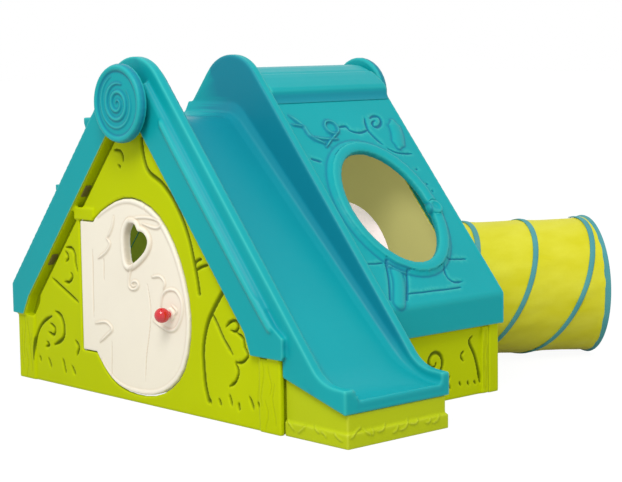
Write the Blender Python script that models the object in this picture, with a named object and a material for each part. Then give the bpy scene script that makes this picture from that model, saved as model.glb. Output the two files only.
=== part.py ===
"""A toddler's playhouse: a steep-roofed hut with a slide over its front half and a crawl tunnel behind.

Units are metres and +Z is up. The front gable, with the door, faces -Y. The slide runs down to +X and
the climbing steps are on -X. The origin is at the middle of the front gable wall's bottom edge.

Roof pieces are drawn in the plane of a slope: s runs down the slope from the line where the two flat
slopes would meet, and n is the height above the roof's outer surface.
"""

import math

import bmesh
import bpy
from mathutils import Matrix, Vector

# Fits
GAP = 0.0003
PIN_CLEARANCE = 0.00008
CLIP_CLEARANCE = 0.001
DOOR_CLEARANCE = 0.004

# The hut
HOUSE_WIDTH = 1.358
HOUSE_DEPTH = 0.940
WALL = 0.012
WALL_SETBACK = 0.006
REAR_SETBACK = 0.033
RIM_DEPTH = 0.045
RIM_PROUD = 0.0077
CHANNEL_DEPTH = 0.033
CHANNEL_EDGE = 0.1255
CHANNEL_FOOT = ((0.590, 0.2195), (0.570, 0.247), (0.555, 0.270))
CHANNEL_WALL_RISE = 0.022
POST_WIDTH = 0.094
POST_PROUD = 0.010
WALL_HEIGHT = 0.2195
SIDE_WALL = 0.014
CORNER_TAB = 0.055

# The roof
ROOF_SLOPE = math.radians(50)
EAVE_TOP = 0.322
EAVE_BOTTOM = 0.223
EAVE_OVERHANG = 0.013
ROOF_SKIN = 0.010
FASCIA = 0.012
RIDGE_RADIUS = 0.174
RIDGE_CAP_REACH = 0.234
BEARING_DROP = 0.075
FLANGE = 0.022
TRIM_DEPTH = 0.097
TRIM = 0.012
TRIM_SKIN = 0.004
TRIM_PROUD = 0.001
TRIM_FOOT_WIDTH = 0.063

# The round window in each rear roof panel, as places along the slope
WINDOW_FROM_FRONT = 0.668
WINDOW_DOWN = 0.711
WINDOW_HALF_WIDTH = 0.167
WINDOW_HALF_HEIGHT = 0.219
WINDOW_RIM_WIDTH = 0.036
WINDOW_RIM_RISE = 0.008

# The ridge rosettes
ROSETTE_RADIUS = 0.123
ROSETTE_RISE = 0.065
ROSETTE_THICKNESS = 0.026
ROSETTE_STANDOFF = 0.030
ROSETTE_EDGE = 0.006
HUB_RADIUS = 0.028
HUB_CLEARANCE = 0.040

# The slide
SLIDE_START = 0.006
SLIDE_WIDTH = 0.424
RAIL_WIDTH = 0.033
RAIL_RISE = 0.020
RAIL_RADIUS = 0.152
RAIL_BEND_X = 0.810
RAIL_BEND_RADIUS = 0.120
RAIL_END_SLOPE = math.radians(4)
SLIDE_END = 0.945
INNER_CHEEK = 0.015
INNER_CHEEK_DROP = 0.020
PLATFORM_HEIGHT = 0.895
PLATFORM_NOSE = 0.335
PLATFORM_THICKNESS = 0.030
NOSE_DROP = 0.060
CREST_RADIUS = 0.100
CHUTE_SLOPE = math.radians(44)
RUNOUT_RADIUS = 0.250
RUNOUT_SLOPE = math.radians(6)
RUNOUT_FLAT = 0.040
LIP_HEIGHT = 0.130
BED = 0.014
LIP_BOTTOM = 0.095
SKIRT_BACK_HEIGHT = 0.171
BAND_TOP = -0.040
BAND_BOTTOM = -0.144
BAND_FOOT_X = 0.559

# The slide's base
BASE_INSET = 0.014
BASE_WALL = 0.010
BASE_END = 0.940
BASE_FLARE = 0.006
BASE_FLARE_HEIGHT = 0.042

# The climbing steps, each a height and how far its nose stands out from the slope
STEP_HEIGHTS = (0.670, 0.450, 0.240)
STEP_NOSES = (0.075, 0.055, 0.043)
STEP_SIDE_MARGIN = 0.029
STEP_THICKNESS = 0.018
STEP_RISER = 0.050

# The door
DOOR_THICKNESS = 0.024
DOOR_PROUD = 0.001
HINGE_PLATE_BOTTOM = 0.139
HINGE_PLATE_TOP = 0.562
HINGE_PLATE_EDGE = -0.307
HINGE_RADIUS = 0.008
PLATE_JOIN_X = -0.242
PIN_RADIUS = 0.003
PIN_IN_DOOR = 0.035
PIN_IN_WALL = 0.030
BOSS_LEFT = -0.333
BOSS_RIGHT = -0.225
BOSS_TOP = 0.606
DOOR_EDGE = ((-0.022, 0.649), (0.113, 0.601), (0.213, 0.472), (0.260, 0.300), (0.224, 0.137),
             (0.117, 0.051), (-0.022, 0.030), (-0.150, 0.061), (-0.252, 0.175), (-0.290, 0.335),
             (-0.252, 0.535), (-0.150, 0.618))
HEART_EDGE = ((0.011, 0.549), (-0.003, 0.568), (-0.020, 0.572), (-0.040, 0.568), (-0.058, 0.543),
              (-0.063, 0.514), (-0.061, 0.477), (-0.054, 0.446), (-0.038, 0.439), (-0.001, 0.456),
              (0.043, 0.489), (0.060, 0.520), (0.047, 0.540), (0.028, 0.548))
KNOB_X = 0.171
KNOB_HEIGHT = 0.304
KNOB_RADIUS = 0.024
KNOB_NECK = 0.010
KNOB_STANDOFF = 0.006
KNOB_BOSS_RADIUS = 0.019
KNOB_BOSS = 0.009

# The opening in the rear gable
ARCH_RADIUS = 0.238
ARCH_HEIGHT = 0.341

# The tunnel
TUNNEL_RADIUS = 0.240
FABRIC = 0.004
HOOP_RADIUS = 0.2415
HOOP_TUBE = 0.006
TUNNEL_SHIFT = 0.0014
TUNNEL_YAW = math.radians(29)
TUNNEL_BEND_RADIUS = 0.300
TUNNEL_STRAIGHT = 0.742
TUNNEL_SIDES = 24
COLLAR_STEPS = 5
SPRING_PITCH = 0.211
SPRING_LEAN = 0.086
SPRING_LEAN_TURN = math.radians(38)
SPRING_START = 0.010
BINDING_WIDTH = 0.020
BINDING_THICKNESS = 0.003
STRAP_WIDTH = 0.025
STRAP_THICKNESS = 0.002
STRAP_GRIP = 0.050
STRAP_RISE = 0.060
BUTTON_RADIUS = 0.010
BUTTON_THICKNESS = 0.005

# Fasteners
SCREW_RADIUS = 0.003
SCREW_HEAD_RADIUS = 0.0065
SCREW_HEAD = 0.004
SCREW_BITE = 0.022
POST_SCREW_BITE = 0.013
CORNER_SCREW_HEIGHT = 0.120
BASE_SCREW_HEIGHT = 0.085
BASE_SCREW_MARGIN = 0.080
CLIP_BELOW_PLATFORM = 0.147
CLIP_ABOVE_EAVE = 0.2096
CLIP_LENGTH = 0.036
CLIP_WIDTH = 0.011
CLIP_HEAD_BORDER = 0.005
CLIP_HEAD = 0.004
CLIP_BITE = 0.014
CLIP_FROM_POST_FACE = 0.016

# Counts
ARC_STEPS = 8
ROUND_SIDES = 32
SMALL_SIDES = 12
PIN_SIDES = 24

# Places worked out from the sizes above
HALF = HOUSE_WIDTH / 2
FRONT = -(WALL_SETBACK + WALL / 2)
REAR = FRONT + HOUSE_DEPTH
ROOF_HALF = HALF + EAVE_OVERHANG
APEX = EAVE_TOP + ROOF_HALF * math.tan(ROOF_SLOPE)
RIDGE_CENTRE = APEX - RIDGE_RADIUS / math.cos(ROOF_SLOPE)
PLATFORM_DOWN = (APEX - PLATFORM_HEIGHT + NOSE_DROP) / math.sin(ROOF_SLOPE)
EAVE_DOWN = ROOF_HALF / math.cos(ROOF_SLOPE)
CLIP_PLACES = (PLATFORM_DOWN + CLIP_BELOW_PLATFORM, EAVE_DOWN - CLIP_ABOVE_EAVE)
HUB_HEIGHT = RIDGE_CENTRE + RIDGE_RADIUS - TRIM_DEPTH - HUB_CLEARANCE - HUB_RADIUS
ROSETTE_HEIGHT = HUB_HEIGHT + ROSETTE_RISE
GABLE_BACK = FRONT + RIM_DEPTH
SKIN_BACK = FRONT + WALL_SETBACK + WALL
SLIDE_FRONT = FRONT + SLIDE_START
SLIDE_BACK = SLIDE_FRONT + SLIDE_WIDTH
REAR_HALF_START = SLIDE_BACK + GAP
SLIDE_SIDE_X = HALF + GAP + 0.001
WINDOW_Y = FRONT + WINDOW_FROM_FRONT
DOOR_FACE = -WALL / 2 - DOOR_PROUD
HINGE_X = HINGE_PLATE_EDGE + HINGE_RADIUS
HINGE_Y = DOOR_FACE + HINGE_RADIUS
KNOB_SEAT = DOOR_FACE - KNOB_BOSS
REAR_FACE = REAR - REAR_SETBACK
HOOP_OUTER = HOOP_RADIUS + HOOP_TUBE
MOUTH = Vector((0, REAR_FACE + GAP + HOOP_TUBE, ARCH_HEIGHT))
HOOP_ROOM = HOOP_TUBE + GAP
BEND_END = HOOP_ROOM + TUNNEL_BEND_RADIUS * TUNNEL_YAW
TUNNEL_LENGTH = BEND_END + TUNNEL_STRAIGHT


def clear_scene():
    for thing in list(bpy.data.objects):
        bpy.data.objects.remove(thing, do_unlink=True)


def plastic(name, colour, roughness=0.35, metallic=0.0):
    material = bpy.data.materials.new(name)
    material.use_nodes = True
    shader = material.node_tree.nodes["Principled BSDF"]
    shader.inputs["Base Color"].default_value = (*colour, 1.0)
    shader.inputs["Roughness"].default_value = roughness
    shader.inputs["Metallic"].default_value = metallic
    material.diffuse_color = (*colour, 1.0)
    return material


def add_object(name, mesh_builder, material=None, smooth=False):
    """An object from a bmesh, with its normals out."""
    bmesh.ops.remove_doubles(mesh_builder, verts=mesh_builder.verts, dist=1e-6)
    bmesh.ops.recalc_face_normals(mesh_builder, faces=mesh_builder.faces)
    mesh = bpy.data.meshes.new(name)
    mesh_builder.to_mesh(mesh)
    mesh_builder.free()
    thing = bpy.data.objects.new(name, mesh)
    bpy.context.scene.collection.objects.link(thing)
    if material:
        mesh.materials.append(material)
    if smooth:
        mesh.shade_smooth()
        mesh.set_sharp_from_angle(angle=math.radians(35))
    return thing


def prism(name, outline, low, high, material=None, axis="Y"):
    """An outline pushed along an axis; its points are (x, z) for Y, (x, y) for Z and (y, z) for X."""
    place = {
        "Y": lambda u, v, w: (u, w, v),
        "Z": lambda u, v, w: (u, v, w),
        "X": lambda u, v, w: (w, u, v),
    }[axis]
    builder = bmesh.new()
    lower = [builder.verts.new(place(u, v, low)) for u, v in outline]
    upper = [builder.verts.new(place(u, v, high)) for u, v in outline]
    builder.faces.new(lower)
    builder.faces.new(upper)
    for i in range(len(outline)):
        j = (i + 1) % len(outline)
        builder.faces.new((lower[i], lower[j], upper[j], upper[i]))
    return add_object(name, builder, material)


def box(name, x_low, x_high, y_low, y_high, z_low, z_high, material=None):
    outline = [(x_low, z_low), (x_high, z_low), (x_high, z_high), (x_low, z_high)]
    return prism(name, outline, y_low, y_high, material)


def lathe(name, start, direction, profile, sides, material=None):
    """A turned solid: profile points are (distance along the axis, radius)."""
    turn = Vector((0, 0, 1)).rotation_difference(Vector(direction)).to_matrix()
    builder = bmesh.new()
    rings = []
    for along, radius in profile:
        angles = [2 * math.pi * (k + 0.5) / sides for k in range(sides)]
        spots = [Vector((radius * math.cos(a), radius * math.sin(a), along)) for a in angles]
        rings.append([builder.verts.new(Vector(start) + turn @ spot) for spot in spots])
    for first, second in zip(rings, rings[1:]):
        for k in range(sides):
            j = (k + 1) % sides
            builder.faces.new((first[k], first[j], second[j], second[k]))
    builder.faces.new(rings[0])
    builder.faces.new(rings[-1])
    return add_object(name, builder, material, smooth=True)


def rod(name, start, direction, length, radius, sides=SMALL_SIDES, material=None):
    return lathe(name, start, direction, [(0, radius), (length, radius)], sides, material)


def helper(thing):
    """Marks an object as a cutter or an added shape, which is no piece of its own."""
    thing.hide_render = True
    thing.display_type = "WIRE"
    return thing


def combine(target, operation, *others):
    for other in others:
        modifier = target.modifiers.new(other.name, "BOOLEAN")
        modifier.operation = operation
        modifier.object = helper(other)
        modifier.solver = "EXACT"
    return target


def fuse(target, *others):
    return combine(target, "UNION", *others)


def cut(target, *others):
    return combine(target, "DIFFERENCE", *others)


def hang_on(parent, spot, *things):
    """Puts the pieces' origins on a joint's axis and parents them to its empty."""
    for thing in things:
        thing.data.transform(Matrix.Translation(-Vector(spot)))
        thing.parent = parent


def arc(centre, radius, start, end, steps=ARC_STEPS):
    """Points on an arc in a plane, with its angles in radians from the first axis."""
    angles = [start + (end - start) * k / steps for k in range(steps + 1)]
    return [(centre[0] + radius * math.cos(a), centre[1] + radius * math.sin(a)) for a in angles]


def smooth_closed(points, steps):
    """A smooth closed curve through the points."""
    curve = []
    count = len(points)
    for i in range(count):
        p0, p1, p2, p3 = (points[(i + k - 1) % count] for k in range(4))
        for step in range(steps):
            t = step / steps
            curve.append(tuple(
                0.5 * (2 * b + (c - a) * t + (2 * a - 5 * b + 4 * c - d) * t**2
                       + (3 * b - a - 3 * c + d) * t**3)
                for a, b, c, d in zip(p0, p1, p2, p3)))
    return curve


def offset_line(points, distance):
    """An open line moved sideways to its left."""
    moved = []
    for i, point in enumerate(points):
        before = points[max(i - 1, 0)]
        after = points[min(i + 1, len(points) - 1)]
        run = (after[0] - before[0], after[1] - before[1])
        size = math.hypot(*run)
        moved.append((point[0] - run[1] / size * distance, point[1] + run[0] / size * distance))
    return moved


def mirrored(outline):
    return [(-x, z) for x, z in outline]


def slope_point(s, n):
    """A place on the right-hand slope, as (x, z)."""
    x = s * math.cos(ROOF_SLOPE) + n * math.sin(ROOF_SLOPE)
    z = APEX - s * math.sin(ROOF_SLOPE) + n * math.cos(ROOF_SLOPE)
    return x, z


def slope_height(x, n):
    return APEX + n / math.cos(ROOF_SLOPE) - abs(x) * math.tan(ROOF_SLOPE)


def slope_x(z, n):
    return (APEX + n / math.cos(ROOF_SLOPE) - z) / math.tan(ROOF_SLOPE)


def ridge_arc(n, start_x, end_x):
    """The rounded ridge at offset n, from the right to the left."""
    radius = RIDGE_RADIUS + n
    reach = radius * math.sin(ROOF_SLOPE)
    first = math.acos(max(-reach, min(reach, start_x)) / radius)
    last = math.acos(max(-reach, min(reach, end_x)) / radius)
    return arc((0, RIDGE_CENTRE), radius, first, last)


def roof_line(n, start_x, end_x):
    """The roof's section at offset n from start_x on the right to end_x, over the ridge if it is crossed."""
    line = []
    reach = (RIDGE_RADIUS + n) * math.sin(ROOF_SLOPE)
    if start_x > reach:
        line.append((start_x, slope_height(start_x, n)))
    if start_x > -reach and end_x < reach:
        line += ridge_arc(n, start_x, end_x)
    if end_x > reach or end_x < -reach:
        line.append((end_x, slope_height(end_x, n)))
    return line


def roof_strip(outer, inner, start_x, end_x):
    """The closed outline between two offsets of the roof's section."""
    return roof_line(outer, start_x, end_x) + roof_line(inner, start_x, end_x)[::-1]


def trim_board(start_x):
    """The board over a gable's edge, from start_x near the ridge down to the eave, on the right."""
    kink_z = EAVE_BOTTOM + TRIM_FOOT_WIDTH
    edge = ROOF_HALF + TRIM_PROUD
    low = EAVE_BOTTOM - TRIM_PROUD
    outer = roof_line(TRIM_PROUD, edge, start_x)
    inner = roof_line(-TRIM_DEPTH, slope_x(kink_z, -TRIM_DEPTH), start_x)[::-1]
    return outer + inner + [(edge - TRIM_FOOT_WIDTH, low), (edge, low)]


def post(name, side, y_low, y_high):
    left, right = sorted((side * (HALF - POST_WIDTH), side * HALF))
    return box(name, left, right, y_low, y_high, 0, WALL_HEIGHT)


def channel_line():
    """The raised wall's edge, from the right post's top over the ridge to the left post's top."""
    shelf = [(HALF - POST_PROUD - SIDE_WALL - GAP, WALL_HEIGHT)] + list(CHANNEL_FOOT)
    end = slope_x(CHANNEL_FOOT[-1][1] + CHANNEL_WALL_RISE, -CHANNEL_EDGE)
    return shelf + roof_line(-CHANNEL_EDGE, end, -end) + mirrored(shelf[::-1])


def raised_outline():
    """The front gable's raised wall, inside its channel."""
    return [(HALF, 0), (HALF, WALL_HEIGHT)] + channel_line() + [(-HALF, WALL_HEIGHT), (-HALF, 0)]


def rim_outline():
    """The rim under the roof's edge, which stands on the posts."""
    low = WALL_HEIGHT + GAP
    foot = ROOF_HALF - TRIM_FOOT_WIDTH
    kink = slope_x(EAVE_BOTTOM + TRIM_FOOT_WIDTH, -TRIM_DEPTH)
    outer = roof_line(-BEARING_DROP, HALF, -HALF)
    inner = roof_line(-TRIM_DEPTH, kink, -kink)[::-1]
    return outer + [(-HALF, low), (-foot, low)] + inner + [(foot, low), (HALF, low)]


def channel_floor_outline():
    """The floor of the channel and what stands behind the rim."""
    low = WALL_HEIGHT + GAP
    middle = offset_line(channel_line(), WALL / 2)[::-1]
    ends = (middle[0][0], low), (middle[-1][0], low)
    return roof_line(-BEARING_DROP, HALF, -HALF) + [(-HALF, low), ends[0]] + middle + [ends[1], (HALF, low)]


def door_curve(grow=0.0):
    """The leaf's egg-shaped edge, clockwise from its top."""
    curve = smooth_closed(DOOR_EDGE, 3)
    closed = [curve[-1]] + curve + [curve[0]]
    return offset_line(closed, grow)[1:-1] if grow else curve


def doorway_cutter():
    hole = prism("doorway_cutter", door_curve(DOOR_CLEARANCE), -2 * WALL, 2 * WALL)
    cut(hole, box("doorway_side", -HALF, PLATE_JOIN_X, -3 * WALL, 3 * WALL, 0, HALF))
    return fuse(hole, box("plate_room", HINGE_PLATE_EDGE - DOOR_CLEARANCE, PLATE_JOIN_X + WALL, -2.5 * WALL,
                          2.5 * WALL, HINGE_PLATE_BOTTOM - DOOR_CLEARANCE, HINGE_PLATE_TOP + DOOR_CLEARANCE))


def front_gable(material):
    """The front wall: a raised face flush with the posts, a channel around it and the roof's rim."""
    wall = prism("front_gable", raised_outline(), -WALL / 2, WALL / 2, material)
    edge = channel_line()
    side = prism("channel_side", edge + offset_line(edge, WALL)[::-1], -WALL / 4, GABLE_BACK - WALL / 4)
    floor = prism("channel_floor", channel_floor_outline(), FRONT + CHANNEL_DEPTH, GABLE_BACK)
    rim = prism("front_rim", rim_outline(), FRONT - RIM_PROUD, GABLE_BACK - WALL / 2)
    posts = [post("front_post", way, FRONT, 0) for way in (-1, 1)]
    boss = box("hinge_boss", BOSS_LEFT, BOSS_RIGHT, FRONT, 0, HINGE_PLATE_TOP + DOOR_CLEARANCE, BOSS_TOP)
    fuse(wall, side, floor, rim, boss, *posts)
    cut(wall, doorway_cutter())
    for low, high in hinge_pin_spans():
        cut(wall, pin_bore(low, high))
    return wall


def rear_gable(material):
    outline = [(HALF, 0)] + roof_line(-BEARING_DROP, HALF, -HALF) + [(-HALF, 0)]
    wall = prism("rear_gable", outline, REAR_FACE - WALL, REAR_FACE, material)
    rim = roof_strip(-BEARING_DROP, -BEARING_DROP - FLANGE, HALF, -HALF)
    fuse(wall, prism("rear_rim", rim, REAR_FACE - WALL / 2, REAR))
    fuse(wall, *[post("rear_post", side, REAR_FACE - WALL / 2, REAR) for side in (-1, 1)])
    hole = rod("arch_cutter", (0, REAR_FACE - 2 * WALL, ARCH_HEIGHT), (0, 1, 0), 3 * WALL, ARCH_RADIUS,
               2 * ROUND_SIDES)
    return cut(wall, hole)


def side_wall(name, side, material):
    """A low wall between the posts, with a tab behind each gable for its screw."""
    y_low = SKIN_BACK + GAP
    y_high = REAR_FACE - WALL - GAP
    outer = HALF - POST_PROUD
    x_low, x_high = sorted((side * outer, side * (outer - SIDE_WALL)))
    wall = box(name, x_low, x_high, y_low, y_high, 0, WALL_HEIGHT, material)
    for y in (y_low, y_high - WALL):
        x_low, x_high = sorted((side * (outer - SIDE_WALL / 2), side * (outer - SIDE_WALL - CORNER_TAB)))
        fuse(wall, box(name + "_tab", x_low, x_high, y, y + WALL, 0, WALL_HEIGHT - 2 * WALL))
    return wall


def base_screw_places():
    inset = BASE_INSET + BASE_SCREW_MARGIN
    return (SLIDE_FRONT + inset, SLIDE_BACK - inset)


def right_side_wall(material):
    wall = side_wall("right_side_wall", 1, material)
    for y in base_screw_places():
        pad = box("base_pad", HALF - POST_PROUD - SIDE_WALL, HALF, y - 2 * WALL, y + 2 * WALL,
                  BASE_SCREW_HEIGHT - 2 * WALL, BASE_SCREW_HEIGHT + 2 * WALL)
        fuse(wall, pad)
    return wall


def slope_ellipse(half_width, half_height, low, high, side, name):
    """An elliptical plug through a roof panel, square to its slope."""
    builder = bmesh.new()
    rings = []
    for n in (low, high):
        ring = []
        for k in range(ROUND_SIDES):
            a = 2 * math.pi * k / ROUND_SIDES
            x, z = slope_point(WINDOW_DOWN + half_height * math.sin(a), n)
            ring.append(builder.verts.new((side * x, WINDOW_Y + half_width * math.cos(a), z)))
        rings.append(ring)
    builder.faces.new(rings[0])
    builder.faces.new(rings[1])
    for k in range(ROUND_SIDES):
        j = (k + 1) % ROUND_SIDES
        builder.faces.new((rings[0][k], rings[0][j], rings[1][j], rings[1][k]))
    return add_object(name, builder)


def panel_outline(start_x):
    """A roof panel's section: the slope's skin and the upright fascia at the eave, on the right."""
    inner_x = ROOF_HALF - FASCIA
    outer = [(ROOF_HALF, EAVE_BOTTOM), (ROOF_HALF, EAVE_TOP), (start_x, slope_height(start_x, 0))]
    inner = [(start_x, slope_height(start_x, -ROOF_SKIN)), (inner_x, slope_height(inner_x, -ROOF_SKIN))]
    return outer + inner + [(inner_x, EAVE_BOTTOM)]


def bearing_rib(start_x):
    """What fills the space between a roof panel's skin and the gable's rim, on the right."""
    top = -ROOF_SKIN / 2
    bottom = -BEARING_DROP + GAP
    end = HALF - FASCIA
    outer = [(end, slope_height(end, top)), (start_x, slope_height(start_x, top))]
    return outer + [(start_x, slope_height(start_x, bottom)), (end, slope_height(end, bottom))]


def roof_panel(name, side, material):
    """A rear roof panel with its round window, raised rim and the board over the rear gable."""
    turn = mirrored if side < 0 else list
    start_x = slope_point(RIDGE_CAP_REACH + GAP, 0)[0]
    panel = prism(name, turn(panel_outline(start_x)), REAR_HALF_START, REAR + TRIM / 2, material)
    rib_x = start_x + GAP
    rib = prism(name + "_rib", turn(bearing_rib(rib_x)), REAR_FACE - WALL, REAR + TRIM / 2)
    board = prism(name + "_board", turn(trim_board(rib_x)), REAR + GAP, REAR + TRIM)
    rim = slope_ellipse(WINDOW_HALF_WIDTH + WINDOW_RIM_WIDTH, WINDOW_HALF_HEIGHT + WINDOW_RIM_WIDTH,
                        -ROOF_SKIN / 2, WINDOW_RIM_RISE, side, name + "_rim")
    hole = slope_ellipse(WINDOW_HALF_WIDTH, WINDOW_HALF_HEIGHT, -2 * ROOF_SKIN, 2 * WINDOW_RIM_RISE,
                         side, name + "_window")
    return cut(fuse(panel, rib, board, rim), hole)


def ridge_cap(material):
    """The rounded ridge between the two rear roof panels."""
    reach = slope_point(RIDGE_CAP_REACH, 0)[0]
    cap = prism("ridge_cap", roof_strip(0, -ROOF_SKIN, reach, -reach), REAR_HALF_START, REAR + TRIM,
                material)
    rib = prism("ridge_rib", roof_strip(-ROOF_SKIN / 2, -BEARING_DROP + GAP, reach, -reach),
                REAR_FACE - WALL, REAR + TRIM / 2)
    board = prism("ridge_board", roof_strip(-ROOF_SKIN / 2, -TRIM_DEPTH, reach, -reach), REAR + GAP,
                  REAR + TRIM)
    return fuse(cap, rib, board)


def rosette(name, post_face, wall_face, outward, material):
    """The round boss over the ridge's end, on a hub that stands on the gable wall."""
    hub = abs(post_face + outward * ROSETTE_STANDOFF - wall_face) - GAP
    start = (0, wall_face + outward * GAP, HUB_HEIGHT)
    piece = lathe(name, (0, post_face + outward * ROSETTE_STANDOFF, ROSETTE_HEIGHT), (0, outward, 0),
                  [(0, ROSETTE_RADIUS - ROSETTE_EDGE), (ROSETTE_EDGE, ROSETTE_RADIUS),
                   (ROSETTE_THICKNESS - ROSETTE_EDGE, ROSETTE_RADIUS),
                   (ROSETTE_THICKNESS, ROSETTE_RADIUS - ROSETTE_EDGE)], ROUND_SIDES, material)
    return fuse(piece, rod(name + "_hub", start, (0, outward, 0), hub + ROSETTE_THICKNESS / 2, HUB_RADIUS,
                           16))


def rail_top(rise):
    """The top edge of the slide's side, from the platform over the ridge to the foot of the slide."""
    apex = APEX + RAIL_RISE / math.cos(ROOF_SLOPE)
    centre = (0, apex - RAIL_RADIUS / math.cos(ROOF_SLOPE))
    radius = RAIL_RADIUS + rise
    left = (-rail_start(rise), PLATFORM_HEIGHT)
    lean = ROOF_SLOPE
    top = arc(centre, radius, math.pi / 2 + lean, math.pi / 2 - lean, 2 * ARC_STEPS)
    bend_start = (RAIL_BEND_X, apex - RAIL_BEND_X * math.tan(lean))
    bend_centre = (bend_start[0] + RAIL_BEND_RADIUS * math.sin(lean),
                   bend_start[1] + RAIL_BEND_RADIUS * math.cos(lean))
    bend = arc(bend_centre, RAIL_BEND_RADIUS - rise, -math.pi / 2 - lean, -math.pi / 2 - RAIL_END_SLOPE)
    last = bend[-1]
    foot = (SLIDE_END, last[1] - (SLIDE_END - last[0]) * math.tan(RAIL_END_SLOPE))
    return [left] + top + bend + [foot]


def bed_top():
    """The surface that a child slides on, from the platform's nose to the lip."""
    end = (SLIDE_END, LIP_HEIGHT)
    flat = (end[0] - RUNOUT_FLAT, end[1] + RUNOUT_FLAT * math.tan(RUNOUT_SLOPE))
    centre = (flat[0] + RUNOUT_RADIUS * math.sin(RUNOUT_SLOPE),
              flat[1] + RUNOUT_RADIUS * math.cos(RUNOUT_SLOPE))
    runout = arc(centre, RUNOUT_RADIUS, -math.pi / 2 - CHUTE_SLOPE, -math.pi / 2 - RUNOUT_SLOPE)
    corner = runout[0][0] - (PLATFORM_HEIGHT - runout[0][1]) / math.tan(CHUTE_SLOPE)
    tangent = CREST_RADIUS * math.tan(CHUTE_SLOPE / 2)
    crest_centre = (corner - tangent, PLATFORM_HEIGHT - CREST_RADIUS)
    crest = arc(crest_centre, CREST_RADIUS, math.pi / 2, math.pi / 2 - CHUTE_SLOPE)
    return [(-PLATFORM_NOSE, PLATFORM_HEIGHT)] + crest + runout + [end]


def bed_outline():
    top = bed_top()
    under = offset_line(top[1:], -BED)
    inside = SLIDE_END - BED
    front = [(SLIDE_END, LIP_BOTTOM), (inside, skirt_height(inside)), (inside, under[-1][1])]
    left_under = PLATFORM_HEIGHT - PLATFORM_THICKNESS
    slab = [(under[0][0], left_under), (-PLATFORM_NOSE / 2, left_under)]
    return top + front + under[-2::-1] + slab + nose_under()


def nose_under():
    """The underside of the platform's nose, sloping back to the roof."""
    low = PLATFORM_HEIGHT - NOSE_DROP
    return [(-slope_x(low, 0), low), (-PLATFORM_NOSE + STEP_THICKNESS, low),
            (-PLATFORM_NOSE, PLATFORM_HEIGHT - STEP_THICKNESS)]


def skirt_height(x):
    """The height of the slide's lower edge, which runs straight from the lip back to the hut."""
    part = (SLIDE_END - x) / (SLIDE_END - SLIDE_SIDE_X)
    return LIP_BOTTOM + part * (SKIRT_BACK_HEIGHT - LIP_BOTTOM)


def skirt_bottom():
    return [(SLIDE_END, LIP_BOTTOM), (SLIDE_SIDE_X, SKIRT_BACK_HEIGHT)]


def rail_start(rise=0.0):
    """How far left of the ridge the rails run, down to the platform's level."""
    return slope_x(PLATFORM_HEIGHT, RAIL_RISE + rise)


def cheek_outline(rise):
    """The slide's side below its rail, down to the bed's underside."""
    top = rail_top(rise)
    under = offset_line(bed_top()[1:], -BED)
    inside = [p for p in under[::-1] if p[0] < SLIDE_SIDE_X]
    join = (SLIDE_SIDE_X, inside[0][1] - (SLIDE_SIDE_X - inside[0][0]) * math.tan(CHUTE_SLOPE))
    slab = PLATFORM_HEIGHT - PLATFORM_THICKNESS
    end = [(inside[-1][0], slab), (-rail_start(rise), slab)]
    return top + skirt_bottom() + [join] + inside + end


def outer_cheek_outline():
    """The slide's front side, which stands on the gable's rim and reaches past the hut's corner."""
    bottom = -BEARING_DROP + GAP
    return rail_top(0) + skirt_bottom() + roof_line(bottom, SLIDE_SIDE_X, -rail_start())


def band_outline(top, bottom):
    """The moulded band on the slide's side over the gable's edge."""
    start_x = HUB_RADIUS + 0.007
    foot_z = EAVE_BOTTOM
    kink = slope_x(foot_z + TRIM_FOOT_WIDTH, bottom)
    outer_x = ROOF_HALF + 0.008
    outer = roof_line(top, slope_x(foot_z + TRIM_FOOT_WIDTH, top), start_x)
    inner = roof_line(bottom, kink, start_x)[::-1]
    foot = [(BAND_FOOT_X, foot_z), (outer_x, foot_z), (outer_x, foot_z + TRIM_FOOT_WIDTH * 0.7)]
    return outer + inner + foot


def slide(material):
    """The slide in one moulding: rails over the ridge, platform, chute and the band on its front side."""
    bed = prism("slide", bed_outline(), GABLE_BACK + INNER_CHEEK / 3, SLIDE_BACK - RAIL_WIDTH / 3, material)
    right = prism("right_cheek", cheek_outline(0), SLIDE_BACK - RAIL_WIDTH, SLIDE_BACK)
    inner = prism("inner_cheek", cheek_outline(-INNER_CHEEK_DROP), GABLE_BACK + GAP,
                  GABLE_BACK + GAP + INNER_CHEEK)
    outer = prism("outer_cheek", outer_cheek_outline(), SLIDE_FRONT, SLIDE_FRONT + RAIL_WIDTH)
    bridge_line = roof_strip(-INNER_CHEEK_DROP, -BEARING_DROP + WALL / 4, SLIDE_SIDE_X + INNER_CHEEK,
                             -rail_start(-INNER_CHEEK_DROP) + WALL / 2)
    bridge = prism("rail_bridge", bridge_line, SLIDE_FRONT + RAIL_WIDTH / 2, GABLE_BACK + INNER_CHEEK / 2)
    foot = prism("rail_foot", foot_outline(), SLIDE_FRONT + RAIL_WIDTH / 2, GABLE_BACK + INNER_CHEEK / 2)
    band = prism("front_band", band_outline(BAND_TOP, BAND_BOTTOM), FRONT - TRIM, FRONT - TRIM + TRIM_SKIN)
    root = roof_strip(BAND_TOP - WALL / 4, -BEARING_DROP + WALL / 2, SLIDE_SIDE_X - WALL, HUB_RADIUS + WALL)
    band_root = prism("band_root", root, FRONT - TRIM + TRIM_SKIN / 2, SLIDE_FRONT + RAIL_WIDTH / 2)
    return fuse(bed, right, inner, outer, bridge, foot, band, band_root)


def foot_outline():
    """What joins the two left cheeks past the hut's corner."""
    top = rail_top(-INNER_CHEEK_DROP)
    line = [p for p in top if p[0] > SLIDE_SIDE_X]
    start = (SLIDE_SIDE_X, line[0][1] + (line[0][0] - SLIDE_SIDE_X) * math.tan(ROOF_SLOPE))
    return [start] + line + skirt_bottom()


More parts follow.
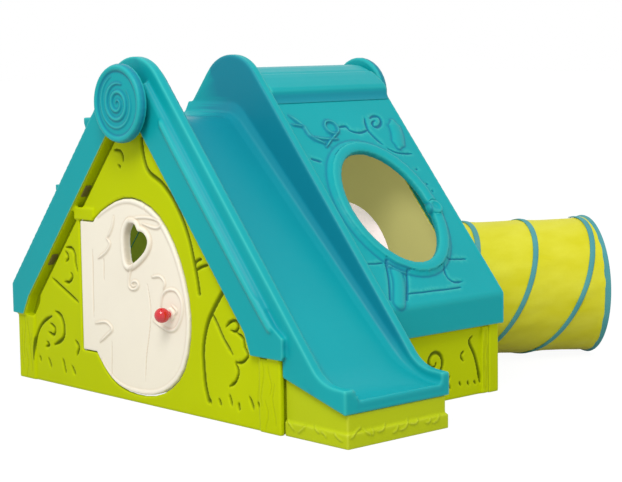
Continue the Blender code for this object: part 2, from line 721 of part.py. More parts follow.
def slide_base(material):
    """The box under the foot of the slide, open above and below."""
    y_low = SLIDE_FRONT + BASE_INSET
    y_high = SLIDE_BACK - BASE_INSET
    outer = [(SLIDE_SIDE_X, 0), (BASE_END, 0), (BASE_END, skirt_height(BASE_END) - GAP),
             (SLIDE_SIDE_X, skirt_height(SLIDE_SIDE_X) - GAP)]
    base = prism("slide_base", outer, y_low, y_high, material)
    plinth = box("base_plinth", SLIDE_SIDE_X, BASE_END + BASE_FLARE, y_low - BASE_FLARE,
                 y_high + BASE_FLARE, 0, BASE_FLARE_HEIGHT)
    hollow = box("base_hollow", SLIDE_SIDE_X + BASE_WALL, BASE_END - BASE_WALL, y_low + BASE_WALL,
                 y_high - BASE_WALL, -BASE_WALL, 2 * SKIRT_BACK_HEIGHT)
    return cut(fuse(base, plinth), hollow)


def tread(height, nose):
    """One climbing step's section on the left slope."""
    wall_x = min(slope_x(height, 0), ROOF_HALF)
    low = height - STEP_RISER
    low_x = min(slope_x(low, 0), ROOF_HALF)
    inside = ROOF_SKIN / 3
    right = [(wall_x - inside, height), (wall_x + nose, height), (wall_x + nose, height - STEP_THICKNESS),
             (low_x, low), (low_x - inside, low)]
    return mirrored(right)


def climbing_panel(material):
    """The front half of the left slope, with its steps and the board over the front gable."""
    top_x = slope_x(PLATFORM_HEIGHT - NOSE_DROP - GAP, 0)
    shell = panel_outline(top_x)
    panel = prism("climbing_panel", mirrored(shell), FRONT - TRIM + TRIM_SKIN / 2, SLIDE_BACK, material)
    rib = prism("climbing_rib", mirrored(bearing_rib(top_x + WALL)), FRONT - TRIM + TRIM_SKIN / 2,
                GABLE_BACK)
    board = prism("climbing_board", mirrored(trim_board(GAP)), FRONT - TRIM, FRONT - TRIM + TRIM_SKIN)
    steps = []
    for height, nose in zip(STEP_HEIGHTS, STEP_NOSES):
        steps.append(prism("climbing_step", tread(height, nose), FRONT + STEP_SIDE_MARGIN,
                           SLIDE_BACK - STEP_SIDE_MARGIN))
    return fuse(panel, rib, board, *steps)


def door_leaf(material):
    """The door: an egg-shaped leaf, its hinge plate with a knuckle along its edge and the knob's boss."""
    back = DOOR_FACE + DOOR_THICKNESS
    leaf = prism("door", door_curve(), DOOR_FACE, back, material)
    cut(leaf, box("door_side_cutter", -HALF, PLATE_JOIN_X, -3 * WALL, 3 * WALL, -WALL, HALF))
    plate = box("hinge_plate", HINGE_X, PLATE_JOIN_X + WALL, DOOR_FACE, DOOR_FACE + 2 * HINGE_RADIUS,
                HINGE_PLATE_BOTTOM, HINGE_PLATE_TOP)
    knuckle = rod("knuckle", (HINGE_X, HINGE_Y, HINGE_PLATE_BOTTOM), (0, 0, 1),
                  HINGE_PLATE_TOP - HINGE_PLATE_BOTTOM, HINGE_RADIUS, 16)
    boss = rod("knob_boss", (KNOB_X, 0, KNOB_HEIGHT), (0, -1, 0), -KNOB_SEAT, KNOB_BOSS_RADIUS, 24)
    fuse(leaf, plate, knuckle, boss)
    for low, high in hinge_pin_spans():
        cut(leaf, pin_bore(low, high))
    heart = prism("heart_cutter", smooth_closed(HEART_EDGE, 2), -3 * WALL, 3 * WALL)
    bore = rod("knob_bore", (KNOB_X, back + WALL, KNOB_HEIGHT), (0, -1, 0), 5 * WALL,
               SCREW_RADIUS + CLIP_CLEARANCE)
    return cut(leaf, heart, bore)


def hinge_pin_spans():
    """The bottom and the top pin, as their lowest and highest ends."""
    return ((HINGE_PLATE_BOTTOM - DOOR_CLEARANCE - PIN_IN_WALL, HINGE_PLATE_BOTTOM + PIN_IN_DOOR),
            (HINGE_PLATE_TOP - PIN_IN_DOOR, HINGE_PLATE_TOP + DOOR_CLEARANCE + PIN_IN_WALL))


def pin_bore(low, high):
    start = (HINGE_X, HINGE_Y, low - CLIP_CLEARANCE)
    return rod("pin_bore", start, (0, 0, 1), high - low + 2 * CLIP_CLEARANCE, PIN_RADIUS + PIN_CLEARANCE,
               PIN_SIDES)


def hinge_pins(material):
    pins = []
    for name, (low, high) in zip(("bottom", "top"), hinge_pin_spans()):
        pins.append(rod("hinge_pin_" + name, (HINGE_X, HINGE_Y, low), (0, 0, 1), high - low, PIN_RADIUS,
                        PIN_SIDES, material))
    return pins


def door_knob(material):
    """A ball on a short neck, with a blind hole for its screw."""
    profile = [(0, KNOB_NECK), (KNOB_STANDOFF, KNOB_NECK)]
    reach = math.sqrt(KNOB_RADIUS**2 - KNOB_NECK**2)
    start = math.atan2(KNOB_NECK, -reach)
    for along, radius in arc((KNOB_STANDOFF + reach, 0), KNOB_RADIUS, start, math.radians(8), 9)[1:]:
        profile.append((along, radius))
    knob = lathe("door_knob", (KNOB_X, KNOB_SEAT - GAP, KNOB_HEIGHT), (0, -1, 0), profile, 16, material)
    hole = rod("knob_hole", (KNOB_X, KNOB_SEAT + WALL, KNOB_HEIGHT), (0, -1, 0),
               WALL + SCREW_BITE + CLIP_CLEARANCE, SCREW_RADIUS + GAP)
    return cut(knob, hole)


def screw(name, seat, direction, length, material):
    """A pan-head screw; seat is under its head and the shank runs along direction."""
    back = [-component for component in direction]
    head = lathe(name, seat, back, [(0, SCREW_HEAD_RADIUS), (SCREW_HEAD * 0.6, SCREW_HEAD_RADIUS),
                                    (SCREW_HEAD, SCREW_HEAD_RADIUS * 0.7)], SMALL_SIDES, material)
    start = Vector(seat) + Vector(back) * SCREW_HEAD / 2
    return fuse(head, rod(name + "_shank", start, direction, length + SCREW_HEAD / 2, SCREW_RADIUS))


def screw_hole(target, seat, direction, length):
    start = Vector(seat) - Vector(direction) * WALL
    hole = rod("screw_hole", start, direction, length + WALL + CLIP_CLEARANCE, SCREW_RADIUS + GAP)
    return cut(target, hole)


def knob_screw(material):
    seat = (KNOB_X, DOOR_FACE + DOOR_THICKNESS + GAP, KNOB_HEIGHT)
    return screw("knob_screw", seat, (0, -1, 0), seat[1] - KNOB_SEAT + SCREW_BITE, material)


def rosette_screw(name, wall, piece, wall_back, outward, material):
    """The screw from inside the hut through the gable wall into a rosette's hub."""
    seat = Vector((0, wall_back - outward * GAP, HUB_HEIGHT))
    direction = (0, outward, 0)
    for target in (wall, piece):
        screw_hole(target, seat, direction, WALL + SCREW_BITE)
    return screw(name, seat, direction, WALL + SCREW_BITE, material)


def corner_screw(name, side, wall, side_piece, tab_face, outward, bite, material):
    """The screw through a side wall's tab into the gable's post."""
    x = side * (HALF - POST_PROUD - SIDE_WALL - CORNER_TAB / 2)
    seat = Vector((x, tab_face - outward * GAP, CORNER_SCREW_HEIGHT))
    for target in (wall, side_piece):
        screw_hole(target, seat, (0, outward, 0), WALL + bite)
    return screw(name, seat, (0, outward, 0), WALL + bite, material)


def base_screws(base, side_piece, material):
    """The two screws that hold the slide's base to the side wall."""
    screws = []
    bite = POST_PROUD + SIDE_WALL / 2
    for number, y in enumerate(base_screw_places(), 1):
        seat = Vector((SLIDE_SIDE_X + BASE_WALL + GAP, y, BASE_SCREW_HEIGHT))
        for target in (base, side_piece):
            screw_hole(target, seat, (-1, 0, 0), BASE_WALL + bite)
        screws.append(screw("base_screw_%d" % number, seat, (-1, 0, 0), BASE_WALL + bite, material))
    return screws


def slope_box(name, side, s, y, half_length, half_width, low, high, material=None):
    """A block square to a slope, with its length down the slope and its width along Y."""
    signs = ((-1, low), (1, low), (1, high), (-1, high))
    corners = [slope_point(s + way * half_length, n) for way, n in signs]
    outline = [(side * x, z) for x, z in corners]
    return prism(name, outline, y - half_width, y + half_width, material)


def roof_clip(name, side, s, y, rim, roof_piece, material):
    """A push-in clip through the gable's rim into the roof piece above it."""
    under = -BEARING_DROP - FLANGE
    top = -BEARING_DROP + CLIP_BITE
    head = slope_box(name, side, s, y, CLIP_LENGTH / 2 + CLIP_HEAD_BORDER, CLIP_WIDTH / 2 + CLIP_HEAD_BORDER,
                     under - GAP - CLIP_HEAD, under - GAP, material)
    stem = slope_box(name + "_stem", side, s, y, CLIP_LENGTH / 2, CLIP_WIDTH / 2, under - CLIP_HEAD / 2, top)
    for target in (rim, roof_piece):
        cut(target, slope_box("clip_slot", side, s, y, CLIP_LENGTH / 2 + CLIP_CLEARANCE,
                              CLIP_WIDTH / 2 + CLIP_CLEARANCE, under - CLIP_HEAD, top + CLIP_CLEARANCE))
    return fuse(head, stem)


def roof_clips(gables, roof_pieces, material):
    """Two clips on each slope of each gable."""
    for end, rim, face, inward in (("front", gables[0], FRONT, 1), ("rear", gables[1], REAR, -1)):
        for side, word in ((-1, "left"), (1, "right")):
            for number, s in enumerate(CLIP_PLACES, 1):
                name = "roof_clip_%s_%s_%d" % (end, word, number)
                y = face + inward * CLIP_FROM_POST_FACE
                roof_clip(name, side, s, y, rim, roof_pieces[end, side], material)


def tunnel_frame(along):
    """The tunnel's centre and heading at a distance along it; it comes down to the ground in its bend."""
    start = min(along, HOOP_ROOM)
    turn = min((along - start) / TUNNEL_BEND_RADIUS, TUNNEL_YAW)
    rest = max(along - BEND_END, 0)
    x = TUNNEL_BEND_RADIUS * (1 - math.cos(turn)) + rest * math.sin(turn)
    y = start + TUNNEL_BEND_RADIUS * math.sin(turn) + rest * math.cos(turn)
    part = turn / TUNNEL_YAW
    settled = part**2 * (3 - 2 * part)
    return MOUTH + Vector((x + settled * TUNNEL_SHIFT, y, settled * (HOOP_OUTER - ARCH_HEIGHT))), turn


def tunnel_point(along, angle, radius):
    """A place on the tunnel; the angle runs from its top towards its right-hand side."""
    centre, turn = tunnel_frame(along)
    side = Vector((math.cos(turn), -math.sin(turn), 0))
    return centre + radius * (math.cos(angle) * Vector((0, 0, 1)) + math.sin(angle) * side)


def fabric_tube(name, stations, material):
    """A thin-walled tube of fabric, open at both ends."""
    builder = bmesh.new()
    skins = []
    for radius in (TUNNEL_RADIUS, TUNNEL_RADIUS - FABRIC):
        rings = []
        for along in stations:
            angles = [2 * math.pi * k / TUNNEL_SIDES for k in range(TUNNEL_SIDES)]
            spots = [tunnel_point(along, angle, radius) for angle in angles]
            rings.append([builder.verts.new(spot) for spot in spots])
        skins.append(rings)
    outer, inner = skins
    for k in range(TUNNEL_SIDES):
        j = (k + 1) % TUNNEL_SIDES
        for rings in skins:
            for first, second in zip(rings, rings[1:]):
                builder.faces.new((first[k], first[j], second[j], second[k]))
        for end in (0, -1):
            builder.faces.new((outer[end][k], outer[end][j], inner[end][j], inner[end][k]))
    return add_object(name, builder, material, smooth=True)


def hoop(name, along, material):
    """A round wire hoop, wrapped in binding, around the tunnel's end."""
    builder = bmesh.new()
    sides = 8
    rings = []
    for k in range(TUNNEL_SIDES * 2):
        angle = math.pi * k / TUNNEL_SIDES
        ring = []
        for m in range(sides):
            a = 2 * math.pi * (m + 0.5) / sides
            radius = HOOP_RADIUS + HOOP_TUBE * math.cos(a) / math.cos(math.pi / sides)
            ring.append(builder.verts.new(tunnel_point(along, angle, radius)
                                          + heading(along) * HOOP_TUBE * math.sin(a)))
        rings.append(ring)
    for k, first in enumerate(rings):
        second = rings[(k + 1) % len(rings)]
        for m in range(sides):
            j = (m + 1) % sides
            builder.faces.new((first[m], first[j], second[j], second[m]))
    return add_object(name, builder, material, smooth=True)


def heading(along):
    turn = tunnel_frame(along)[1]
    return Vector((math.sin(turn), math.cos(turn), 0))


def spring_places():
    """The spiral binding's stations: its distance along the tunnel and its angle, one entry per facet."""
    start = TUNNEL_LENGTH - SPRING_START
    stop = BEND_END + BINDING_WIDTH
    places = []
    k = 0
    while True:
        angle = 2 * math.pi * k / TUNNEL_SIDES
        lean = SPRING_LEAN * (1 - math.cos(angle - SPRING_LEAN_TURN))
        along = start - SPRING_PITCH * angle / (2 * math.pi) - lean
        if along < stop:
            return places
        places.append((along, angle))
        k += 1


def tunnel_spring(material):
    """The wire spiral in its flat binding, one unbroken band around the outside of the fabric."""
    low = TUNNEL_RADIUS + 2 * GAP
    high = low + BINDING_THICKNESS
    half = BINDING_WIDTH / 2
    places = spring_places()
    builder = bmesh.new()
    rings = []
    for along, angle in places:
        corners = ((along - half, low), (along + half, low), (along + half, high), (along - half, high))
        rings.append([builder.verts.new(tunnel_point(a, angle, radius)) for a, radius in corners])
    for first, second in zip(rings, rings[1:]):
        for m in range(4):
            j = (m + 1) % 4
            builder.faces.new((first[m], first[j], second[j], second[m]))
    builder.faces.new(rings[0])
    builder.faces.new(rings[-1])
    gaps = [places[k][0] - places[k + TUNNEL_SIDES][0] - BINDING_WIDTH
            for k in range(len(places) - TUNNEL_SIDES)]
    print("spiral binding: %.1f turns, least gap to itself %.1f mm"
          % (len(places) / TUNNEL_SIDES, min(gaps) * 1000))
    return add_object("tunnel_spring", builder, material)


def strap(name, outline, button_x, button_z, fabric, snap):
    """A fabric tab from the mouth hoop to the gable wall, with its press stud."""
    low = REAR_FACE + GAP
    band = prism("tunnel_strap_" + name, outline, low, low + STRAP_THICKNESS, fabric)
    stud = lathe("strap_stud_" + name, (button_x, low + STRAP_THICKNESS + GAP, button_z), (0, 1, 0),
                 [(0, BUTTON_RADIUS), (BUTTON_THICKNESS / 2, BUTTON_RADIUS),
                  (BUTTON_THICKNESS, BUTTON_RADIUS / 2)], SMALL_SIDES, snap)
    return band, stud


def straps(fabric, snap):
    """Tabs on the left, on the right and over the top of the mouth hoop."""
    half = STRAP_WIDTH / 2
    reach = math.sqrt(HOOP_OUTER**2 - (STRAP_RISE - half) ** 2)
    middle = ARCH_HEIGHT + STRAP_RISE
    for side, word in ((-1, "left"), (1, "right")):
        inner = side * (reach + GAP)
        outer = side * (reach + STRAP_GRIP)
        low_edge = [(inner, middle - half), (outer, middle - half)]
        outline = low_edge + [(outer, middle + half), (inner, middle + half)]
        strap(word, outline, outer - side * half, middle, fabric, snap)
    low = ARCH_HEIGHT + HOOP_OUTER + GAP
    high = low + STRAP_GRIP
    outline = [(-half, low), (half, low), (half, high), (-half, high)]
    strap("top", outline, 0, high - half, fabric, snap)


def tunnel(fabric, binding, snap):
    hoop("tunnel_mouth_hoop", 0.0, binding)
    bend = [HOOP_ROOM + (BEND_END - GAP - HOOP_ROOM) * k / COLLAR_STEPS for k in range(COLLAR_STEPS + 1)]
    fabric_tube("tunnel_collar", bend, fabric)
    fabric_tube("tunnel_tube", [BEND_END, TUNNEL_LENGTH - HOOP_ROOM], fabric)
    tunnel_spring(binding)
    end_hoop = hoop("tunnel_end_hoop", TUNNEL_LENGTH, binding)
    straps(fabric, snap)
    slide_point = bpy.data.objects.new("tunnel_end", None)
    slide_point.location = tunnel_frame(TUNNEL_LENGTH)[0]
    bpy.context.scene.collection.objects.link(slide_point)
    hang_on(slide_point, slide_point.location, end_hoop)


def door(cream, red, steel):
    leaf = door_leaf(cream)
    knob = door_knob(red)
    bolt = knob_screw(steel)
    hinge = bpy.data.objects.new("door_hinge", None)
    hinge.location = (HINGE_X, HINGE_Y, 0)
    bpy.context.scene.collection.objects.link(hinge)
    moving = [leaf, knob, bolt]
    for thing in list(moving):
        moving += [modifier.object for modifier in thing.modifiers]
        for modifier in thing.modifiers:
            moving += [inner.object for inner in modifier.object.modifiers]
    hang_on(hinge, hinge.location, *moving)


def main():
    clear_scene()
    blue = plastic("blue_plastic", (0.02, 0.43, 0.45))
    green = plastic("green_plastic", (0.48, 0.56, 0.0))
    base_green = plastic("base_green_plastic", (0.36, 0.49, 0.01))
    cream = plastic("cream_plastic", (0.90, 0.82, 0.72), 0.4)
    red = plastic("red_plastic", (0.60, 0.0, 0.02), 0.15)
    steel = plastic("zinc_steel", (0.55, 0.56, 0.58), 0.35, 1.0)
    fabric = plastic("yellow_fabric", (0.60, 0.57, 0.05), 0.7)
    binding = plastic("teal_binding", (0.03, 0.34, 0.40), 0.6)

    front = front_gable(green)
    rear = rear_gable(green)
    left_wall = side_wall("left_side_wall", -1, green)
    right_wall = right_side_wall(green)
    chute = slide(blue)
    base = slide_base(base_green)
    climb = climbing_panel(blue)
    right_panel = roof_panel("right_roof_panel", 1, blue)
    left_panel = roof_panel("left_roof_panel", -1, blue)
    ridge_cap(blue)
    front_boss = rosette("front_rosette", FRONT, -WALL / 2, -1, blue)
    rear_boss = rosette("rear_rosette", REAR, REAR_FACE, 1, blue)
    hinge_pins(steel)
    door(cream, red, steel)
    roof_pieces = {
        ("front", -1): climb,
        ("front", 1): chute,
        ("rear", -1): left_panel,
        ("rear", 1): right_panel,
    }
    roof_clips((front, rear), roof_pieces, blue)
    rosette_screw("front_rosette_screw", front, front_boss, WALL / 2, -1, steel)
    rosette_screw("rear_rosette_screw", rear, rear_boss, REAR_FACE - WALL, 1, steel)
    for side, word, piece in ((-1, "left", left_wall), (1, "right", right_wall)):
        corner_screw("corner_screw_front_" + word, side, front, piece, SKIN_BACK + GAP + WALL, -1,
                     POST_SCREW_BITE, steel)
        corner_screw("corner_screw_rear_" + word, side, rear, piece, REAR_FACE - WALL - GAP - WALL, 1,
                     SCREW_BITE, steel)
    base_screws(base, right_wall, steel)
    tunnel(fabric, binding, steel)


main()
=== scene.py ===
"""The looks of a toddler's playhouse: carved mouldings, a fabric tunnel, light and camera.

Units are metres, in the model's own frame: +Z up, the front gable and its door face -Y, the slide runs down
to +X. Carved lines are written as places in enlarged views of the photograph and are thrown onto the wall
that carries them.
"""

import math
from contextlib import contextmanager

import bmesh
import bpy
import numpy as np
from mathutils import Matrix, Vector


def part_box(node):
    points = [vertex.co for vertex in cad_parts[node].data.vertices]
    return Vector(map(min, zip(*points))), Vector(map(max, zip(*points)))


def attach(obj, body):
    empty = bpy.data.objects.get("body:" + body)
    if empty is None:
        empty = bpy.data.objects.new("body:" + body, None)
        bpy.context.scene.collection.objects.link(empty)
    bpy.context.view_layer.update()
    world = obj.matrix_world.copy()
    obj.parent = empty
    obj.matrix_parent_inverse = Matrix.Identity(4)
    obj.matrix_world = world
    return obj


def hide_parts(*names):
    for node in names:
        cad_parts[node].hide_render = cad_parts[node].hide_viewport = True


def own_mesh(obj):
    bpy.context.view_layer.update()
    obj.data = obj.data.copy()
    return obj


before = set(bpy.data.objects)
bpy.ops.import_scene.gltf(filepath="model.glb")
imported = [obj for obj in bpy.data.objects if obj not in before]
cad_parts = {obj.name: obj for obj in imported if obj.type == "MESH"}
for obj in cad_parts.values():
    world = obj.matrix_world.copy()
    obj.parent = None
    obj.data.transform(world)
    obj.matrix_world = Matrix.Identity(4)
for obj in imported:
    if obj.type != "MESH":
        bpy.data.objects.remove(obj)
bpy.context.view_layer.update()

# The camera, as it was fitted to the photograph
PHOTO_WIDTH = 622
PHOTO_HEIGHT = 482
FOCAL_PIXELS = 1804.26
CAMERA_PLACE = Vector((4.5323, -3.3809, 1.1450))
CAMERA_YAW = math.radians(47.775)
CAMERA_DOWN = math.radians(6.44)
CAMERA_ROLL = math.radians(-0.7845)

# Enlarged views of the photograph: the pixel at their top left corner and their scale
FRONT_VIEW = (20, 150, 5.225)
ROOF_VIEW = (255, 50, 6.273)
SIDE_VIEW = (250, 330, 5.807)
FOOT_VIEW = (250, 280, 5.807)
BAND_VIEW = (20, 170, 5.807)

# Sizes of the hut that the looks need
ROOF_SLOPE = math.radians(50)
ROOF_HALF = 0.692
EAVE_TOP = 0.322
APEX = EAVE_TOP + ROOF_HALF * math.tan(ROOF_SLOPE)
WALL_FACE = -0.006
POST_FACE = -0.012
WALL_TOP = 0.222
HALF = 0.679
TRIM_FACE = -0.024
DOOR_FACE = -0.007
SIDE_FACE = 0.669
POST_LAP = 0.030
BASE_FRONT = 0.008
BASE_END = 0.940
REAR_HALF_START = 0.4183
REAR_WALL_MIDDLE = 0.889
DOOR_EDGE = ((-0.022, 0.649), (0.113, 0.601), (0.213, 0.472), (0.260, 0.300), (0.224, 0.137),
             (0.117, 0.051), (-0.022, 0.030), (-0.150, 0.061), (-0.252, 0.175), (-0.290, 0.335),
             (-0.252, 0.535), (-0.150, 0.618))
HEART_EDGE = ((0.011, 0.549), (-0.003, 0.568), (-0.020, 0.572), (-0.040, 0.568), (-0.058, 0.543),
              (-0.063, 0.514), (-0.061, 0.477), (-0.054, 0.446), (-0.038, 0.439), (-0.001, 0.456),
              (0.043, 0.489), (0.060, 0.520), (0.047, 0.540), (0.028, 0.548))
PLATE_JOIN = -0.215
ROSETTE_CENTRE = (0.0, 0.950)
ROSETTE_RADIUS = 0.123
ROSETTE_FACE = -0.068
REAR_ROSETTE_FACE = 0.984
WINDOW_Y = 0.656
WINDOW_DOWN = 0.711
WINDOW_HALF_WIDTH = 0.167
WINDOW_HALF_HEIGHT = 0.219

# The slide's bed, between its sides
BED_FRONT_Y = 0.0483
BED_BACK_Y = 0.385
PLATFORM_HEIGHT = 0.895
CREST_RADIUS = 0.100
CHUTE_SLOPE = math.radians(44)
RUNOUT_RADIUS = 0.250
RUNOUT_SLOPE = math.radians(6)
RUNOUT_FLAT = 0.040
SLIDE_END = 0.945
LIP_HEIGHT = 0.130
BED_FILLET = 0.045
LIP_FILLET = 0.014
LIP_ROLL = 0.0065
RAIL_KNOB = 0.017
EAVE_ROUND = 0.034
RAIL_END_TOP = 0.166
BEAD_RADIUS = 0.011

# The tunnel
TUNNEL_RADIUS = 0.2395
HOOP_RADIUS = 0.2415
HOOP_TUBE = 0.006
TUNNEL_MOUTH = Vector((0, 0.9013, 0.341))
TUNNEL_SHIFT = 0.0014
TUNNEL_YAW = math.radians(29)
TUNNEL_BEND_RADIUS = 0.300
HOOP_ROOM = 0.0063
BEND_END = HOOP_ROOM + TUNNEL_BEND_RADIUS * TUNNEL_YAW
TUNNEL_STRAIGHT = 0.742
TUNNEL_LENGTH = BEND_END + TUNNEL_STRAIGHT
CUFF = 0.030
SPRING_PITCH = 0.211
SPRING_LEAN = 0.086
SPRING_LEAN_TURN = math.radians(38)
SPRING_START = 0.010
FLARE = 0.004
FLARE_LENGTH = 0.045
TAPE_WIDTH = 0.020
FABRIC_SAG = 0.0035
LINING_INSET = 0.0030

# Moulding: the shade in grooves and at the foot of raised lines, and the size of a mesh cell
GROOVE_SHADE_WIDTH = 0.0035
FOOT_SHADE = 0.6
INNER_FACE_DEPTH = 0.004
INNER_FACE_MARGIN = 0.04
FULL_SHADE_DEPTH = 0.006
CELL = 0.0034
DOOR_CELL = 0.0024
KNOB_CELL = 0.0011

# Painted shade: how dark the material's darker tone is at its most, in the places that the photograph shows
# darker
CHANNEL_SHADE = 0.55
RISER_SHADE = 0.45
CHUTE_SIDE_SHADE = 0.55
CHUTE_VALLEY_SHADE = 0.22
CHUTE_BED_SHADE = 0.10
CHUTE_HIGH_SHADE = 0.38

# Raised rims: how far out their middle lies, their width and their height
WINDOW_RIM = (0.024, 0.056, 0.0095)
HEART_RIM = (0.009, 0.022, 0.0075)
DOOR_RIM = (-0.008, 0.018, 0.0030)


def link(thing):
    bpy.context.scene.collection.objects.link(thing)
    return thing


def camera_axes():
    """The camera's forward, right and up directions."""
    level_reach = math.cos(CAMERA_DOWN)
    forward = Vector((-math.sin(CAMERA_YAW) * level_reach, math.cos(CAMERA_YAW) * level_reach,
                      -math.sin(CAMERA_DOWN)))
    level = Vector((math.cos(CAMERA_YAW), math.sin(CAMERA_YAW), 0))
    upright = level.cross(forward)
    right = level * math.cos(CAMERA_ROLL) + upright * math.sin(CAMERA_ROLL)
    up = -level * math.sin(CAMERA_ROLL) + upright * math.cos(CAMERA_ROLL)
    return forward, right, up


def make_camera():
    forward, right, up = camera_axes()
    lens = bpy.data.cameras.new("camera")
    lens.sensor_fit = "HORIZONTAL"
    lens.sensor_width = 36
    lens.lens = 36 * FOCAL_PIXELS / PHOTO_WIDTH
    camera = link(bpy.data.objects.new("camera", lens))
    turn = Matrix((right, up, -forward)).transposed()
    camera.matrix_world = Matrix.Translation(CAMERA_PLACE) @ turn.to_4x4()
    bpy.context.scene.camera = camera


def thrown(view, spot, origin, normal):
    """Where a place in an enlarged view meets a plane of the model."""
    forward, right, up = camera_axes()
    across = (view[0] + spot[0] / view[2] - PHOTO_WIDTH / 2) / FOCAL_PIXELS
    down = (view[1] + spot[1] / view[2] - PHOTO_HEIGHT / 2) / FOCAL_PIXELS
    ray = forward + right * across - up * down
    reach = (origin - CAMERA_PLACE).dot(normal) / ray.dot(normal)
    return CAMERA_PLACE + ray * reach


# Shapes

def smooth_line(points, closed=False, steps=6):
    """A smooth curve through the points, as an array."""
    spots = np.array(points, float)
    if len(spots) < 3 and not closed:
        return np.array([spots[0] + (spots[-1] - spots[0]) * k / steps for k in range(steps + 1)])
    before, after = (spots[-1:], spots[:2]) if closed else (spots[:1], spots[-1:])
    padded = np.vstack([before, spots, after])
    curve = []
    for a, b, c, d in zip(padded, padded[1:], padded[2:], padded[3:]):
        for t in [step / steps for step in range(steps)]:
            curve.append(0.5 * (2 * b + (c - a) * t + (2 * a - 5 * b + 4 * c - d) * t**2
                                + (3 * b - a - 3 * c + d) * t**3))
    curve.append(curve[0] if closed else spots[-1])
    return np.array(curve)


def grown(outline, distance):
    """A closed curve moved outwards."""
    points = np.array(outline[:-1])
    middle = points.mean(0)
    ahead = np.roll(points, -1, 0) - np.roll(points, 1, 0)
    sideways = np.stack([ahead[:, 1], -ahead[:, 0]], 1)
    sideways /= np.linalg.norm(sideways, axis=1)[:, None]
    out = np.sign(((points - middle) * sideways).sum(1))
    moved = points + sideways * np.sign(np.median(out)) * distance
    return np.vstack([moved, moved[:1]])


def slope_point(s, n):
    """A place on the right-hand slope's section, as (x, z)."""
    x = s * math.cos(ROOF_SLOPE) + n * math.sin(ROOF_SLOPE)
    z = APEX - s * math.sin(ROOF_SLOPE) + n * math.cos(ROOF_SLOPE)
    return x, z


def bed_line():
    """The slide's surface, from the platform's nose to the lip, as (x, z)."""
    def arc(centre, radius, first, sweep, steps):
        angles = [first + sweep * k / steps for k in range(steps + 1)]
        return [(centre[0] + radius * math.cos(a), centre[1] + radius * math.sin(a)) for a in angles]

    flat = (SLIDE_END - RUNOUT_FLAT, LIP_HEIGHT + RUNOUT_FLAT * math.tan(RUNOUT_SLOPE))
    centre = (flat[0] + RUNOUT_RADIUS * math.sin(RUNOUT_SLOPE),
              flat[1] + RUNOUT_RADIUS * math.cos(RUNOUT_SLOPE))
    runout = arc(centre, RUNOUT_RADIUS, -math.pi / 2 - CHUTE_SLOPE, CHUTE_SLOPE - RUNOUT_SLOPE, 12)
    corner = runout[0][0] - (PLATFORM_HEIGHT - runout[0][1]) / math.tan(CHUTE_SLOPE)
    middle = (corner - CREST_RADIUS * math.tan(CHUTE_SLOPE / 2), PLATFORM_HEIGHT - CREST_RADIUS)
    crest = arc(middle, CREST_RADIUS, math.pi / 2, -CHUTE_SLOPE, 8)
    return [(-0.22, PLATFORM_HEIGHT)] + crest + runout + [(SLIDE_END - 0.004, LIP_HEIGHT)]


def mesh_object(name, vertices, faces):
    mesh = bpy.data.meshes.new(name)
    mesh.from_pydata([tuple(v) for v in vertices], [], faces)
    mesh.update()
    return link(bpy.data.objects.new(name, mesh))


@contextmanager
def editing(mesh):
    """A mesh opened for editing; what is done to it is written back at the end."""
    builder = bmesh.new()
    builder.from_mesh(mesh)
    yield builder
    builder.to_mesh(mesh)
    builder.free()


def bar(name, rings):
    """A closed bar over rings of points, each ring with as many points, and with its faces out."""
    count = len(rings[0])
    vertices = [v for ring in rings for v in ring]
    faces = []
    for i in range(len(rings) - 1):
        for k in range(count):
            j = (k + 1) % count
            faces.append((i * count + k, i * count + j, (i + 1) * count + j, (i + 1) * count + k))
    faces.append(tuple(range(count))[::-1])
    faces.append(tuple((len(rings) - 1) * count + k for k in range(count)))
    thing = mesh_object(name, vertices, faces)
    with editing(thing.data) as builder:
        bmesh.ops.recalc_face_normals(builder, faces=builder.faces)
    return thing


def circle(count):
    """The angles of a circle's corners."""
    return [2 * math.pi * k / count for k in range(count)]


def applied(thing):
    """The object's mesh with its modifiers, which then replaces the mesh under them."""
    depsgraph = bpy.context.evaluated_depsgraph_get()
    mesh = bpy.data.meshes.new_from_object(thing.evaluated_get(depsgraph))
    thing.modifiers.clear()
    thing.data = mesh
    return thing


def thick_front(node, face_y, depth):
    """The faces of a node in one upright plane, pushed back into a thicker board."""
    builder = bmesh.new()
    builder.from_mesh(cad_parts[node].data)
    bmesh.ops.remove_doubles(builder, verts=builder.verts, dist=1e-6)
    others = [f for f in builder.faces if any(abs(v.co.y - face_y) > 2e-4 for v in f.verts)]
    bmesh.ops.delete(builder, geom=others, context="FACES")
    made = bmesh.ops.extrude_face_region(builder, geom=builder.faces[:])
    moved = [v for v in made["geom"] if isinstance(v, bmesh.types.BMVert)]
    bmesh.ops.translate(builder, verts=moved, vec=(0, depth, 0))
    bmesh.ops.recalc_face_normals(builder, faces=builder.faces)
    mesh = bpy.data.meshes.new(node + "_board")
    builder.to_mesh(mesh)
    builder.free()
    return link(bpy.data.objects.new(node + "_board", mesh))


def joined(name, things):
    """One mesh object from several; the sources are removed."""
    mesh = bpy.data.meshes.new(name)
    with editing(mesh) as builder:
        for thing in things:
            builder.from_mesh(thing.data)
    for thing in things:
        bpy.data.objects.remove(thing, do_unlink=True)
    return link(bpy.data.objects.new(name, mesh))


